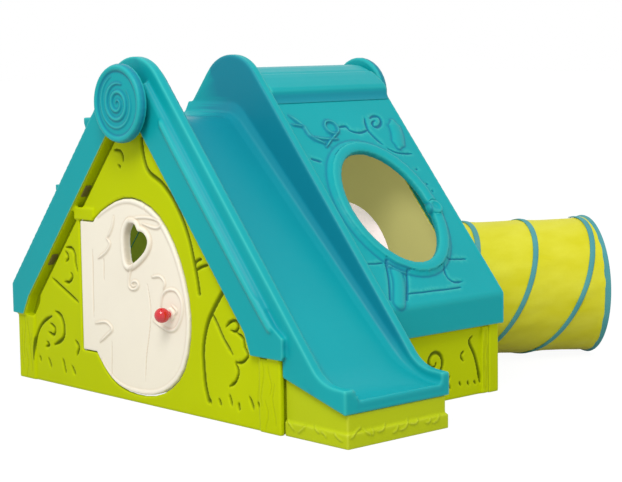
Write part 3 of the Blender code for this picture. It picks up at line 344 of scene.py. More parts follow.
def moulded(name, node, cell=CELL, rounds=4, extras=()):
    """A node's solid and any extras in one skin, with its edges rounded as in a blow moulding."""
    body = link(bpy.data.objects.new(name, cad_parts[node].data.copy()))
    piece = joined(name, [body] + list(extras))
    remesh = piece.modifiers.new("skin", "REMESH")
    remesh.mode = "VOXEL"
    remesh.voxel_size = cell
    smooth = piece.modifiers.new("round", "SMOOTH")
    smooth.factor = 0.5
    smooth.iterations = rounds
    applied(piece)
    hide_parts(node)
    return piece


def finish_skin(piece, share=0.4):
    """Fewer faces where the skin is flat, and even shading."""
    lighter = piece.modifiers.new("lighter", "DECIMATE")
    lighter.ratio = share
    applied(piece)
    piece.data.shade_smooth()
    return piece


# Carved lines

class Plane:
    """A plane of the model with its own two directions."""

    def __init__(self, origin, across, up):
        self.origin = Vector(origin)
        self.across = Vector(across).normalized()
        self.up = Vector(up).normalized()
        self.normal = self.across.cross(self.up).normalized()

    def place(self, point):
        away = Vector(point) - self.origin
        return away.dot(self.across), away.dot(self.up)

    def seen(self, view, *spots):
        return [self.place(thrown(view, spot, self.origin, self.normal)) for spot in spots]


def facing_front(y):
    return Plane((0, y, 0), (1, 0, 0), (0, 0, 1))


def facing_right(x):
    return Plane((x, 0, 0), (0, 1, 0), (0, 0, 1))


FRONT_PLANE = facing_front(WALL_FACE)
POST_PLANE = facing_front(POST_FACE)
BAND_PLANE = facing_front(TRIM_FACE)
DOOR_PLANE = facing_front(DOOR_FACE)
ROSETTE_PLANE = facing_front(ROSETTE_FACE)
REAR_ROSETTE_PLANE = Plane((0, REAR_ROSETTE_FACE, 0), (-1, 0, 0), (0, 0, 1))
BASE_FRONT_PLANE = facing_front(BASE_FRONT)
BASE_END_PLANE = facing_right(BASE_END)
POST_SIDE_PLANE = facing_right(HALF)
SIDE_PLANE = facing_right(SIDE_FACE)
ROOF_PLANE = Plane((0, 0, APEX), (0, 1, 0), (-math.cos(ROOF_SLOPE), 0, math.sin(ROOF_SLOPE)))
LEFT_ROOF_PLANE = Plane((0, 0, APEX), (0, -1, 0), (math.cos(ROOF_SLOPE), 0, math.sin(ROOF_SLOPE)))


def near_line(points, line):
    """Each point's distance from a line, and how far along it the nearest place is, from 0 to 1."""
    best = np.full(len(points), 1e9)
    where = np.zeros(len(points))
    runs = np.linalg.norm(np.diff(line, axis=0), axis=1)
    marks = np.concatenate([[0], np.cumsum(runs)]) / max(runs.sum(), 1e-9)
    for k in range(len(line) - 1):
        start = line[k]
        run = line[k + 1] - start
        size = max(run @ run, 1e-12)
        t = np.clip((points - start) @ run / size, 0, 1)
        gap = np.linalg.norm(points - start - t[:, None] * run, axis=1)
        closer = gap < best
        best[closer] = gap[closer]
        where[closer] = (marks[k] + t * (marks[k + 1] - marks[k]))[closer]
    return best, where


def profile(gap, half, height):
    """A line's height at a distance from its middle, and the painted shade in its groove or at its foot."""
    t = np.clip(gap / half, 0, 1)
    strength = min(1.0, abs(height) / FULL_SHADE_DEPTH)
    if height < 0:
        return height * (1 - t**3.5), strength * (1 - t**4)
    foot = np.exp(-((gap - half) / GROOVE_SHADE_WIDTH) ** 2)
    return height * (1 - t**2.4), FOOT_SHADE * strength * foot


def vertex_values(mesh, name):
    values = np.empty(len(mesh.vertices) * 3)
    mesh.vertices.foreach_get(name, values)
    return values.reshape(-1, 3)


def carve(piece, carvings, shape=True):
    """Moves the skin along a plane's normal under its lines, or marks the painted shade there.

    Each carving is a plane, its lines and how far from the plane the skin may lie; each line is its points,
    width, height and whether its ends taper.
    """
    mesh = piece.data
    places = vertex_values(mesh, "co")
    normals = vertex_values(mesh, "normal")
    moved = places.copy()
    dark = np.zeros(len(places))
    for plane, lines, depth in carvings:
        normal = np.array(plane.normal)
        away = places - np.array(plane.origin)
        flat = np.stack([away @ np.array(plane.across), away @ np.array(plane.up)], 1)
        reach = depth if shape else depth + 0.012
        facing = (np.abs(away @ normal) < reach) & (normals @ normal > (0.5 if shape else -0.2))
        raised = np.zeros(len(places))
        sunk = np.zeros(len(places))
        for line, width, height, tapered in lines:
            line = np.array(line)
            low = line.min(0) - width
            high = line.max(0) + width
            chosen = np.flatnonzero(facing & (flat > low).all(1) & (flat < high).all(1))
            if not len(chosen):
                continue
            gap, where = near_line(flat[chosen], line)
            half = np.full(len(chosen), width / 2)
            if tapered:
                half *= 0.4 + 0.6 * np.clip(np.minimum(where, 1 - where) / 0.15, 0, 1)
            bump, shade_here = profile(gap, half, height)
            bump *= 0.6 + 0.4 * half / (width / 2)
            if height > 0:
                raised[chosen] = np.maximum(raised[chosen], bump)
            else:
                sunk[chosen] = np.minimum(sunk[chosen], bump)
            dark[chosen] = np.maximum(dark[chosen], shade_here)
        moved += normal * (raised + sunk)[:, None]
    if shape:
        mesh.vertices.foreach_set("co", moved.ravel())
        mesh.update()
    return dark, places, normals


def carved(piece, carvings, share=0.5, shades=None):
    """Carves the lines, lightens the mesh and writes painted shade, in the grooves and from shades, on it for
    the material.
    """
    carve(piece, carvings)
    finish_skin(piece, share)
    dark, places, normals = carve(piece, carvings, shape=False)
    if shades is not None:
        dark = np.maximum(dark, shades(places, normals))
    # The "carved" attribute holds the painted shade.
    painted_shade = piece.data.attributes.new("carved", "FLOAT", "POINT")
    painted_shade.data.foreach_set("value", dark)
    return piece


def strokes(plane, view, *groups, mirror=1):
    """Carved lines from places in an enlarged view.

    A group is a width, a height, whether the ends taper, and then its lines.
    """
    made = []
    for width, height, tapered, *drawn in groups:
        for line in drawn:
            places = [(mirror * across, up) for across, up in plane.seen(view, *line)]
            made.append((smooth_line(places), width, height, tapered))
    return made


def ring(centre, radius_across, radius_up, steps=48):
    angles = [math.radians(360 * k / steps) for k in range(steps + 1)]
    return np.array([(centre[0] + radius_across * math.cos(a), centre[1] + radius_up * math.sin(a))
                     for a in angles])


def spiral(centre, outer, inner, turns, start=0.0, steps=90):
    points = []
    for k in range(steps + 1):
        part = k / steps
        radius = outer + (inner - outer) * part
        a = math.radians(start) + 2 * math.pi * turns * part
        points.append((centre[0] + radius * math.cos(a), centre[1] + radius * math.sin(a)))
    return np.array(points)


# Materials

class Nodes:
    """A node tree, wired by short calls."""

    def __init__(self, tree):
        self.tree = tree

    def node(self, kind, inputs=(), **values):
        made = self.tree.nodes.new(kind)
        for key, value in values.items():
            setattr(made, key, value)
        self.fill(made, dict(inputs))
        return made

    def fill(self, node, inputs):
        """Sets a node's inputs, or links them where the value is another node's socket."""
        for key, value in inputs.items():
            if isinstance(value, bpy.types.NodeSocket):
                self.tree.links.new(value, node.inputs[key])
            else:
                node.inputs[key].default_value = value

    def spread(self, source, low, high):
        values = {"To Min": low, "To Max": high, "Value": source}
        return self.node("ShaderNodeMapRange", values).outputs["Result"]

    def any_ray(self):
        """1 for a ray from the camera, a reflection or a clear surface, else 0."""
        path = self.node("ShaderNodeLightPath").outputs
        found = path["Is Camera Ray"]
        for kind in ("Is Glossy Ray", "Is Transmission Ray"):
            found = self.node("ShaderNodeMath", {0: found, 1: path[kind]}, operation="MAXIMUM").outputs[0]
        return found


class Maker(Nodes):
    """A material with its nodes."""

    def __init__(self, name):
        self.material = bpy.data.materials.new(name)
        self.material.use_nodes = True
        super().__init__(self.material.node_tree)
        self.shader = self.tree.nodes["Principled BSDF"]
        self.place = self.node("ShaderNodeTexCoord").outputs["Object"]

    def noise(self, scale, detail=3.0, stretch=None, roughness=0.5):
        place = self.place
        if stretch is not None:
            place = self.node("ShaderNodeMapping", {"Scale": stretch, "Vector": place}).outputs["Vector"]
        values = {"Scale": scale, "Detail": detail, "Roughness": roughness, "Vector": place}
        return self.node("ShaderNodeTexNoise", values).outputs["Fac"]

    def ramp(self, source, low, high):
        """Black up to one value and white from another."""
        ramp = self.node("ShaderNodeValToRGB", {"Fac": source})
        for element, position in zip(ramp.color_ramp.elements, (low, high)):
            element.position = position
        return ramp.outputs["Color"]

    def mix(self, factor, first, second):
        first, second = (shade(value) if isinstance(value, tuple) else value for value in (first, second))
        values = {0: factor, 6: first, 7: second}
        return self.node("ShaderNodeMix", values, data_type="RGBA").outputs[2]

    def edges(self, low, high):
        """How proud an edge stands, from 0 in a groove to 1 on an edge."""
        pointiness = self.node("ShaderNodeNewGeometry").outputs["Pointiness"]
        values = {"From Min": low, "From Max": high, "Value": pointiness}
        return self.node("ShaderNodeMapRange", values).outputs["Result"]

    def bump(self, height, strength, distance, onto=None):
        values = {"Strength": strength, "Distance": distance, "Height": height}
        if onto is not None:
            values["Normal"] = onto
        return self.node("ShaderNodeBump", values).outputs["Normal"]

    def surface(self, colour, roughness, normal, glow=(), **others):
        """Fills the shader; glow is a colour and a strength, for an emission that is painted light."""
        self.fill(self.shader, {"Base Color": colour, "Roughness": roughness, "Normal": normal})
        self.fill(self.shader, {key.replace("_", " "): value for key, value in others.items()})
        if glow and glow[1]:
            self.fill(self.shader, {"Emission Color": shade(glow[0]), "Emission Strength": glow[1]})
        return self.material


def shade(colour):
    """A written colour (0-255 as it should look) as the renderer's linear values."""
    linear = []
    for value in colour:
        part = value / 255
        linear.append(part / 12.92 if part <= 0.04045 else ((part + 0.055) / 1.055) ** 2.4)
    return (*linear, 1.0)


# groove is the colour of the painted shade, edge the colour of the painted highlight; a glow is painted
# light.
def moulding(name, colour, groove, edge, roughness, gloss, grain=0.0, glow=0.0):
    """Moulded polyethylene: a fine pebbled skin, painted shade in hollows and where the "carved" attribute
    holds it, painted highlights on edges, and slight flow marks.
    """
    made = Maker(name)
    low = tuple(c * 0.97 for c in colour)
    high = tuple(min(255, c * 1.03) for c in colour)
    # Painted highlight: the paler edge colour on convex edges.
    painted_highlight = made.mix(made.edges(0.50, 0.62), made.mix(made.noise(3.5, 4), low, high), edge)
    # Painted shade: the groove colour in hollows.
    base = made.mix(made.edges(0.485, 0.40), painted_highlight, groove)
    # Painted shade from the "carved" attribute: in grooves, at the foot of raised lines and in the shaded
    # recesses.
    painted_shade = made.node("ShaderNodeAttribute", attribute_name="carved")
    pebble = made.bump(made.noise(900, 2), 0.10, 0.0004)
    skin = made.bump(made.noise(14, 2), 0.10, 0.002, pebble)
    if grain:
        skin = made.bump(made.noise(6, 6, (30, 30, 2), 0.65), grain, 0.003, skin)
    rough = made.spread(made.noise(40, 5), roughness - 0.06, roughness + 0.08)
    return made.surface(made.mix(painted_shade.outputs["Fac"], base, groove), rough, skin, (colour, glow),
                        Specular_IOR_Level=gloss)


def metal(name, colour):
    made = Maker(name)
    tone = made.mix(made.noise(60, 4), colour, tuple(c * 0.85 for c in colour))
    rough = made.spread(made.noise(300, 3), 0.25, 0.45)
    return made.surface(tone, rough, made.bump(made.noise(700, 2), 0.1, 0.0002), Metallic=1.0)


def cloth(name, colour, dark, thread=0.0012, wrinkles=0.25, sheen=0.15, glow=0.0):
    """Thin plain-weave cloth with creases and slight stains of tone."""
    made = Maker(name)
    waves = {}
    for k, direction in enumerate(("X", "Z")):
        values = {"Scale": 0.05 / thread, "Vector": made.place}
        waves[k] = made.node("ShaderNodeTexWave", values, bands_direction=direction).outputs["Fac"]
    weave = made.node("ShaderNodeMath", waves, operation="MULTIPLY").outputs[0]
    tone = made.mix(made.ramp(made.noise(7, 3, (1, 1, 2.2)), 0.30, 0.70), dark, colour)
    tone = made.mix(made.mix(0.12, (0, 0, 0), weave), tone, dark)
    fine = made.bump(weave, 0.25, 0.0003)
    creased = made.bump(made.noise(16, 5, (1, 1, 1.6), 0.6), wrinkles, 0.004, fine)
    return made.surface(tone, 0.72, creased, (colour, glow), Sheen_Weight=sheen, Sheen_Roughness=0.45,
                        Specular_IOR_Level=0.15)


def paint(thing, material):
    thing.data.materials.clear()
    thing.data.materials.append(material)


def dress(piece, material, body="house"):
    """Gives a piece its material and its body."""
    paint(piece, material)
    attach(piece, body)
    return piece


# The pieces

# The front wall's strokes, in pixels of FRONT_VIEW
WALL_TRUNK = ((632, -60), (645, 40), (672, 115), (740, 175), (800, 260), (850, 370), (885, 480), (910, 600),
              (925, 680), (935, 750))
WALL_ROOT = ((1055, 745), (1010, 830), (980, 900), (962, 980), (955, 1060), (960, 1150), (968, 1230),
             (985, 1310))
WALL_FORKS = (((1000, 850), (1030, 910), (1065, 990), (1112, 1070)), ((290, 995), (307, 1030), (296, 1072)))
WALL_BOUGH = ((80, 1090), (82, 1010), (95, 945), (125, 895), (165, 868))
WALL_ARCH = ((185, 842), (215, 870), (230, 930), (222, 985), (180, 1017))
WALL_SLANT = ((170, 670), (240, 735), (305, 795))
WALL_CURLS = (
    ((1075, 925), (1095, 900), (1125, 893), (1140, 925), (1122, 950), (1102, 942)),
    ((1130, 955), (1165, 985), (1172, 1030), (1190, 1075), (1160, 1110), (1125, 1110)),
    ((1125, 1115), (1140, 1160), (1125, 1210), (1095, 1235)),
    ((158, 905), (182, 930), (176, 965), (150, 950)),
    ((140, 1000), (152, 1018), (136, 1026)))
WALL_TWIGS = (
    ((908, 602), (925, 578), (948, 570)), ((918, 628), (950, 610), (982, 600)),
    ((240, 510), (268, 512), (286, 545), (290, 590), (300, 635)),
    ((238, 530), (252, 560), (240, 582)), ((266, 640), (272, 665), (256, 690), (234, 688)),
    ((490, 0), (520, 5), (535, 30), (538, 60)), ((512, 78), (524, 92)))
WALL_GRASS = (
    ((985, 1290), (1000, 1325)), ((1040, 1300), (1050, 1335)), ((1095, 1280), (1108, 1335)),
    ((1142, 1320), (1146, 1360)), ((1200, 1290), (1222, 1355)), ((1245, 1320), (1248, 1345)),
    ((150, 1085), (165, 1135)), ((225, 1090), (240, 1165)), ((272, 1128), (290, 1172)),
    ((104, 1075), (110, 1102)))
WALL_CUT = -0.0085

# A post's grain lines: the place across the post and the two ends of each, as shares
POST_GRAIN = ((0.18, 0.05, 0.80), (0.36, 0.30, 0.96), (0.52, 0.02, 0.45), (0.66, 0.50, 0.93),
              (0.82, 0.12, 0.70))
GRAIN_WIDTH = 0.005
GRAIN_DEPTH = -0.0012


def front_lines():
    """The lines carved into the front wall."""
    return strokes(
        FRONT_PLANE, FRONT_VIEW, (0.017, WALL_CUT, False, WALL_TRUNK), (0.018, WALL_CUT, False, WALL_ROOT),
        (0.015, WALL_CUT, True, WALL_ARCH), (0.013, WALL_CUT, True, WALL_BOUGH),
        (0.012, WALL_CUT, True, *WALL_FORKS), (0.010, WALL_CUT, True, WALL_SLANT),
        (0.011, WALL_CUT, True, *WALL_CURLS, *WALL_TWIGS, *WALL_GRASS))


def grain(low, high, bottom, top):
    """Long shallow grain lines up a post."""
    lines = []
    for part, start, end in POST_GRAIN:
        across = low + (high - low) * part
        sway = (high - low) * 0.06
        points = []
        for t in [k / 8 for k in range(9)]:
            up = bottom + (top - bottom) * (start + (end - start) * t)
            points.append((across + sway * math.sin(6 * t + 9 * part), up))
        lines.append((np.array(points), GRAIN_WIDTH, GRAIN_DEPTH, True))
    return lines


def post_lines():
    return grain(0.560, 0.672, 0.0, WALL_TOP) + grain(-0.672, -0.590, 0.0, WALL_TOP)


def front_wall(material):
    wall = moulded("front_wall", "front_gable")

    # Painted shade on the faces that look forward behind the wall's face, in the channel under the trim.
    def channel(places, normals):
        return np.where((places[:, 1] > -0.002) & (normals[:, 1] < -0.3), CHANNEL_SHADE, 0.0)

    carved(wall, [(FRONT_PLANE, front_lines(), 0.003), (POST_PLANE, post_lines(), 0.003)], 0.6, channel)
    return dress(wall, material)


# The door's strokes, in pixels of FRONT_VIEW
DOOR_CURL_STEM = ((598, 600), (578, 632), (570, 668))
DOOR_CURL_CENTRE = (598, 703)
DOOR_LEAF = ((575, 360), (640, 352), (700, 360), (738, 384), (712, 408), (640, 386))
DOOR_CRACKS = (
    ((490, 345), (482, 400), (460, 455)), ((452, 462), (470, 488), (452, 530), (410, 566)),
    ((395, 905), (450, 898), (482, 935), (455, 968), (420, 1002)),
    ((690, 665), (730, 660), (756, 690), (750, 726)))
DOOR_PLATE_LINE = ((378, 520), (385, 872))
DOOR_PLANKS = (
    ((437, 565), (438, 682)), ((480, 1000), (480, 1185)), ((648, 275), (652, 322)),
    ((665, 700), (682, 830), (676, 950), (660, 1080), (655, 1218)))
KNOB_SURROUND = ((738, 815), (745, 762), (772, 732), (815, 736), (845, 790), (845, 860), (820, 928),
                 (785, 944), (740, 922), (698, 892))
KNOB_FOLD = ((792, 810), (820, 840), (800, 872))


def open_rim(edge):
    """The part of the door's raised rim that is clear of its hinge plate."""
    rim = grown(edge, DOOR_RIM[0])[:-1]
    beside = rim[:, 0] < PLATE_JOIN
    first = np.flatnonzero(beside)[-1] + 1
    return np.roll(rim, -first, 0)[:len(rim) - beside.sum()]


def door_lines():
    """The door's rims, curl, leaf, cracks and planks."""
    edge = smooth_line(DOOR_EDGE, closed=True)
    heart = smooth_line(HEART_EDGE, closed=True)
    groove, ridge = -0.0030, 0.0040
    curl = (*DOOR_CURL_STEM, *spiral(DOOR_CURL_CENTRE, 30, 8, -1.4, 190, 16))
    rims = [(open_rim(edge), *DOOR_RIM[1:], True), (grown(heart, HEART_RIM[0]), *HEART_RIM[1:], False)]
    return rims + strokes(
        DOOR_PLANE, FRONT_VIEW, (0.010, ridge, True, curl, DOOR_LEAF, *DOOR_CRACKS),
        (0.008, ridge, True, KNOB_FOLD), (0.012, 0.0042, True, KNOB_SURROUND),
        (0.008, groove, True, DOOR_PLATE_LINE), (0.006, groove, True, *DOOR_PLANKS))


def door_leaf(material):
    leaf = moulded("door_leaf", "door", DOOR_CELL, 3)
    carved(leaf, [(DOOR_PLANE, door_lines(), 0.004)], 0.6)
    return dress(leaf, material, "door")


# The roof panels' strokes, in pixels of ROOF_VIEW
ROOF_POD = ((862, 450), (892, 530), (900, 612))
ROOF_POD_STEM = ((832, 618), (880, 640), (925, 648), (985, 650))
ROOF_STALK = ((888, 1400), (905, 1470), (905, 1590))
ROOF_STALK_SIDES = (((820, 1325), (842, 1440), (850, 1566)), ((950, 1390), (958, 1470), (956, 1566)))
ROOF_STALK_TOP = (((815, 1322), (880, 1362), (958, 1388)), ((820, 1345), (885, 1384), (955, 1408)))
ROOF_BRANCH = ((210, 412), (300, 480), (350, 545), (440, 590))
ROOF_FORK = ((232, 470), (300, 482))
ROOF_TWIG = ((350, 548), (430, 560), (522, 562))
ROOF_LOOP_STEM = ((445, 612), (480, 560), (520, 520))
ROOF_LOOP_CENTRE = (478, 488)
ROOF_CURL_CENTRE = (758, 456)
ROOF_VINE = ((520, 486), (570, 478), (600, 506), (660, 518), (712, 500))
ROOF_TENDRIL = ((688, 430), (710, 500), (760, 556), (802, 592))
ROOF_DASH = ((352, 682), (418, 700))
ROOF_DOTS = (((1010, 745), (1018, 752)), ((1075, 835), (1083, 845)))
ROOF_SMALL_DOT = ((1110, 880), (1118, 890))
ROOF_ROOT = ((1180, 1350), (1205, 1420), (1250, 1455), (1300, 1450))
ROOF_PLANKS = (((712, 1342), (800, 1336)), ((1200, 1312), (1320, 1310)),
               ((962, 1528), (1120, 1510), (1290, 1488)))
KNOT_SPOT = (1115, 1000)

# The knot on the window's rim: height over the roof and radius, up its section
KNOT_SECTION = ((-0.006, 0.029), (0.012, 0.029), (0.021, 0.025), (0.0225, 0.019), (0.017, 0.011),
                (0.019, 0.005))


def roof_lines(side):
    """The window's rim, branches and curls on a roof panel; the left panel mirrors the right."""
    centre = (side * WINDOW_Y, -WINDOW_DOWN)
    groove, ridge = -0.0048, 0.0065
    rim = ring(centre, WINDOW_HALF_WIDTH + WINDOW_RIM[0], WINDOW_HALF_HEIGHT + WINDOW_RIM[0])
    across, up = ROOF_PLANE.seen(ROOF_VIEW, ROOF_LOOP_CENTRE)[0]
    loop = ring((side * across, up), 0.026, 0.026)
    curl = spiral(ROOF_CURL_CENTRE, 46, 14, 1.1, 215, 20)
    return [(rim, *WINDOW_RIM[1:], False), (loop, 0.009, ridge, False)] + strokes(
        ROOF_PLANE, ROOF_VIEW, (0.054, 0.0075, True, ROOF_POD), (0.046, 0.0070, False, ROOF_STALK),
        (0.012, ridge, True, ROOF_BRANCH), (0.008, ridge, True, ROOF_FORK, *ROOF_STALK_TOP),
        (0.010, ridge, True, ROOF_TWIG), (0.009, ridge, True, ROOF_LOOP_STEM),
        (0.012, groove, True, curl, ROOF_TENDRIL, ROOF_DASH), (0.010, groove, True, ROOF_VINE, *ROOF_DOTS),
        (0.009, groove, True, ROOF_SMALL_DOT, ROOF_ROOT), (0.008, groove, True, ROOF_POD_STEM),
        (0.010, groove, False, *ROOF_STALK_SIDES), (0.006, groove, False, *ROOF_PLANKS), mirror=side)


def knot(side):
    """The round knot on the window's rim."""
    middle = Vector(thrown(ROOF_VIEW, KNOT_SPOT, ROOF_PLANE.origin, ROOF_PLANE.normal))
    middle.x *= side
    normal = Vector((side * math.sin(ROOF_SLOPE), 0, math.cos(ROOF_SLOPE)))
    along = Vector((0, 1, 0))
    up = normal.cross(along)
    return bar("knot", [[middle + normal * height + (along * math.cos(a) + up * math.sin(a)) * radius
                         for a in circle(24)] for height, radius in KNOT_SECTION])


def roof_panel(name, node, side, plane, material, inner):
    panel = moulded(name, node, rounds=8, extras=[knot(side)])
    soft_eave(panel, side)
    carved(panel, [(plane, roof_lines(side), 0.012)], 0.5)
    return inner_faces(dress(panel, material), inner, side)


def painted_inner_light(piece, inner, looks_in):
    """Gives the faces that look into the hut a material with painted light."""
    piece.data.materials.append(inner)
    for face in piece.data.polygons:
        if looks_in(face):
            face.material_index = 1
    return piece


def inner_faces(panel, inner, side):
    """Painted light under a roof half: its faces that look in get a paler glowing material."""
    inward = Vector((-side * math.sin(ROOF_SLOPE), 0, -math.cos(ROOF_SLOPE)))

    def looks_in(face):
        depth = (face.center - Vector((0, 0, APEX))).dot(inward)
        return face.normal.dot(inward) > 0.6 and depth > INNER_FACE_DEPTH

    return painted_inner_light(panel, inner, looks_in)


# The section of the ridge cap's rolled edge, along and over the slope
LEDGE_SECTION = ((0.150, -0.004), (0.172, 0.004), (0.200, 0.012), (0.224, 0.018), (0.238, 0.017),
                 (0.247, 0.011), (0.262, 0.004), (0.286, 0.0018), (0.286, 0.0003), (0.2338, 0.0003),
                 (0.2338, -0.008), (0.150, -0.010))
LEDGE_ENDS = (REAR_HALF_START + 0.001, 0.938)

# The section of the band's shoulder, over the slope and along y
SHOULDER_SECTION = ((-0.046, TRIM_FACE), (-0.040, TRIM_FACE), (-0.032, -0.0225), (-0.025, -0.017),
                    (-0.021, -0.0055), (-0.021, 0.004), (-0.046, 0.004))


def cap_ledge(side):
    """The thick rolled edge along the ridge cap's foot."""
    section = [slope_point(s, n) for s, n in LEDGE_SECTION]
    return bar("cap_ledge", [[(side * x, y, z) for x, z in section] for y in LEDGE_ENDS])


def riser_shades(places, _normals):
    """Painted shade on the ridge cap's risers, below its rolled edges."""
    down = np.abs(places[:, 0]) * math.cos(ROOF_SLOPE) - (places[:, 2] - APEX) * math.sin(ROOF_SLOPE)
    return RISER_SHADE * np.clip((down - 0.240) / 0.012, 0, 1)


def ridge(material):
    cap = moulded("ridge_roll", "ridge_cap", extras=[cap_ledge(-1), cap_ledge(1)])
    return dress(carved(cap, [], 0.4, riser_shades), material)


def bed_fillet(wall_y, way):
    """A soft corner between the slide's bed and a side; way is +1 towards +Y."""
    rings = []
    for x, z in bed_line():
        size = BED_FILLET - (BED_FILLET - LIP_FILLET) * min(max((x - 0.70) / 0.15, 0), 1)
        rings.append([(x, wall_y - way * 0.006, z - 0.006), (x, wall_y + way * size, z - 0.006),
                      (x, wall_y + way * size, z), (x, wall_y + way * size * 0.35, z + size * 0.25),
                      (x, wall_y, z + size), (x, wall_y - way * 0.006, z + size)])
    return bar("bed_fillet", rings)


def band_shoulder():
    """The rounded shoulder from the front band up to the slide's side."""
    rings = []
    for s in (0.150, 1.0):
        places = [(slope_point(s, n), y) for n, y in SHOULDER_SECTION]
        rings.append([(x, y, z) for (x, z), y in places])
    return bar("band_shoulder", rings)


# The front band's bead and its corner at the eave, in pixels of BAND_VIEW
BEAD_LINE = ((810, -285), (955, 0), (1210, 485), (1330, 710), (1458, 944))
CORNER_OUTLINE = ((1290, 640), (1380, 760), (1470, 925), (1520, 985), (1522, 1095), (1430, 1080), (1330, 900))


def band_bead():
    """The round bead along the top edge of the front band, which ends above the eave's corner."""
    rings = []
    line = smooth_line(BAND_PLANE.seen(BAND_VIEW, *BEAD_LINE), steps=8)
    for k, (x, z) in enumerate(line):
        ahead = line[min(k + 1, len(line) - 1)] - line[max(k - 1, 0)]
        ahead = ahead / np.linalg.norm(ahead)
        out = np.array((ahead[1], -ahead[0]))
        size = BEAD_RADIUS * (0.55 if k in (0, len(line) - 1) else 1)
        rings.append([(x + out[0] * size * math.cos(a), TRIM_FACE + 0.001 + size * math.sin(a),
                       z + out[1] * size * math.cos(a)) for a in circle(12)])
    return bar("band_bead", rings)


def band_corner():
    """The band's flat corner between the bead's end and the eave."""
    spots = BAND_PLANE.seen(BAND_VIEW, *CORNER_OUTLINE)
    return bar("band_corner", [[(x, y, z) for x, z in spots] for y in (TRIM_FACE, TRIM_FACE + 0.014)])


def lip_roll():
    """The rolled edge across the slide's lip."""
    middle_x = SLIDE_END - LIP_ROLL
    middle_z = LIP_HEIGHT - 0.002
    return bar("lip_roll", [[(middle_x + LIP_ROLL * math.cos(a), y, middle_z + LIP_ROLL * math.sin(a))
                             for a in circle(12)] for y in (BED_FRONT_Y - 0.004, BED_BACK_Y + 0.004)])


def rail_knob(y):
    """The soft round end of a rail at the lip."""
    centre = Vector((SLIDE_END - RAIL_KNOB - 0.001, y, RAIL_END_TOP + 0.003 - RAIL_KNOB))
    rings = []
    for k in range(1, 12):
        a = math.pi * k / 12
        reach = RAIL_KNOB * math.sin(a)
        rings.append([centre + Vector((reach * math.cos(b), reach * math.sin(b), RAIL_KNOB * math.cos(a)))
                      for b in circle(16)])
    return bar("rail_knob", rings)


def chute_shades(places, normals):
    """Painted shade by how deep in the chute or its front valley a place lies: on its sides, its bed, more
    near the top, and in the valley.
    """
    x, y, z = places.T
    above = x * math.sin(ROOF_SLOPE) + (z - APEX) * math.cos(ROOF_SLOPE)
    within = (x > -0.1) & (y > BED_FRONT_Y - 0.006) & (y < BED_BACK_Y + 0.006)
    sides = within * np.clip((np.abs(normals[:, 1]) - 0.3) / 0.6, 0, 1) * np.clip((z - 0.14) / 0.12, 0, 1)
    in_valley = (y > TRIM_FACE + 0.002) & (y < 0.006) & (x > 0)
    valley = np.clip(1 - np.abs(above + 0.027) / 0.012, 0, 1) * in_valley
    high = np.clip((z - 0.30) / 0.60, 0, 1) * within * (normals[:, 2] > 0.4)
    edges = np.maximum(CHUTE_SIDE_SHADE * sides, CHUTE_VALLEY_SHADE * valley)
    return np.maximum(edges, CHUTE_BED_SHADE * within + CHUTE_HIGH_SHADE * high)


def soft_eave(panel, side):
    """Rounds the long edge between a roof panel's slope and its fascia."""
    centre_x = ROOF_HALF - EAVE_ROUND
    centre_z = APEX - (EAVE_ROUND + centre_x * math.sin(ROOF_SLOPE)) / math.cos(ROOF_SLOPE)
    for vertex in panel.data.vertices:
        x = side * vertex.co.x - centre_x
        z = vertex.co.z - centre_z
        angle = math.atan2(z, x)
        reach = math.hypot(x, z)
        if reach > EAVE_ROUND and 0 < angle < math.pi / 2 - ROOF_SLOPE:
            vertex.co.x = side * (centre_x + EAVE_ROUND * math.cos(angle))
            vertex.co.z = centre_z + EAVE_ROUND * math.sin(angle)


def slide(material):
    extras = [bed_fillet(BED_FRONT_Y, 1), bed_fillet(BED_BACK_Y, -1), band_shoulder(), band_bead(),
              band_corner(), lip_roll(), rail_knob(BED_FRONT_Y - 0.018), rail_knob(BED_BACK_Y + 0.016),
              thick_front("slide", TRIM_FACE, 0.010)]
    chute = moulded("slide_moulding", "slide", rounds=10, extras=extras)
    return dress(carved(chute, [], 0.35, chute_shades), material)


def climbing_side(material, inner):
    panel = moulded("climbing_side", "climbing_panel", rounds=4,
                    extras=[thick_front("climbing_panel", TRIM_FACE, 0.010)])
    return inner_faces(dress(finish_skin(panel, 0.35), material), inner, -1)


def rosette(name, node, plane, material):
    boss = moulded(name, node, DOOR_CELL, 3)
    centre = ROSETTE_CENTRE
    carved(boss, [(plane, [
        (ring(centre, ROSETTE_RADIUS - 0.012, ROSETTE_RADIUS - 0.012), 0.024, 0.0060, False),
        (spiral(centre, 0.088, 0.064, 0.8, 110), 0.010, 0.0032, True),
        (spiral(centre, 0.064, 0.006, 2.2, 70), 0.014, 0.0050, True),
    ], 0.004)], 0.7)
    return dress(boss, material)


# The side wall's strokes, in pixels of SIDE_VIEW
SIDE_CURL_CENTRE = (1070, 190)
SIDE_BOUGH = ((1290, 35), (1275, 70), (1304, 140), (1324, 220), (1334, 300))
SIDE_TWIGS = (((1244, 120), (1226, 150), (1240, 180)), ((1160, 270), (1150, 306), (1166, 340)))
SIDE_GRASS = (((1215, 300), (1226, 322)), ((1262, 296), (1272, 318)), ((1300, 292), (1312, 312)))
SIDE_CUT = -0.0065


def side_lines():
    centre = SIDE_PLANE.seen(SIDE_VIEW, SIDE_CURL_CENTRE)[0]
    return [(spiral(centre, 0.052, 0.008, 1.4, 200), 0.014, SIDE_CUT, True)] + strokes(
        SIDE_PLANE, SIDE_VIEW, (0.014, SIDE_CUT, True, SIDE_BOUGH), (0.009, SIDE_CUT, True, *SIDE_TWIGS),
        (0.008, SIDE_CUT, True, *SIDE_GRASS))


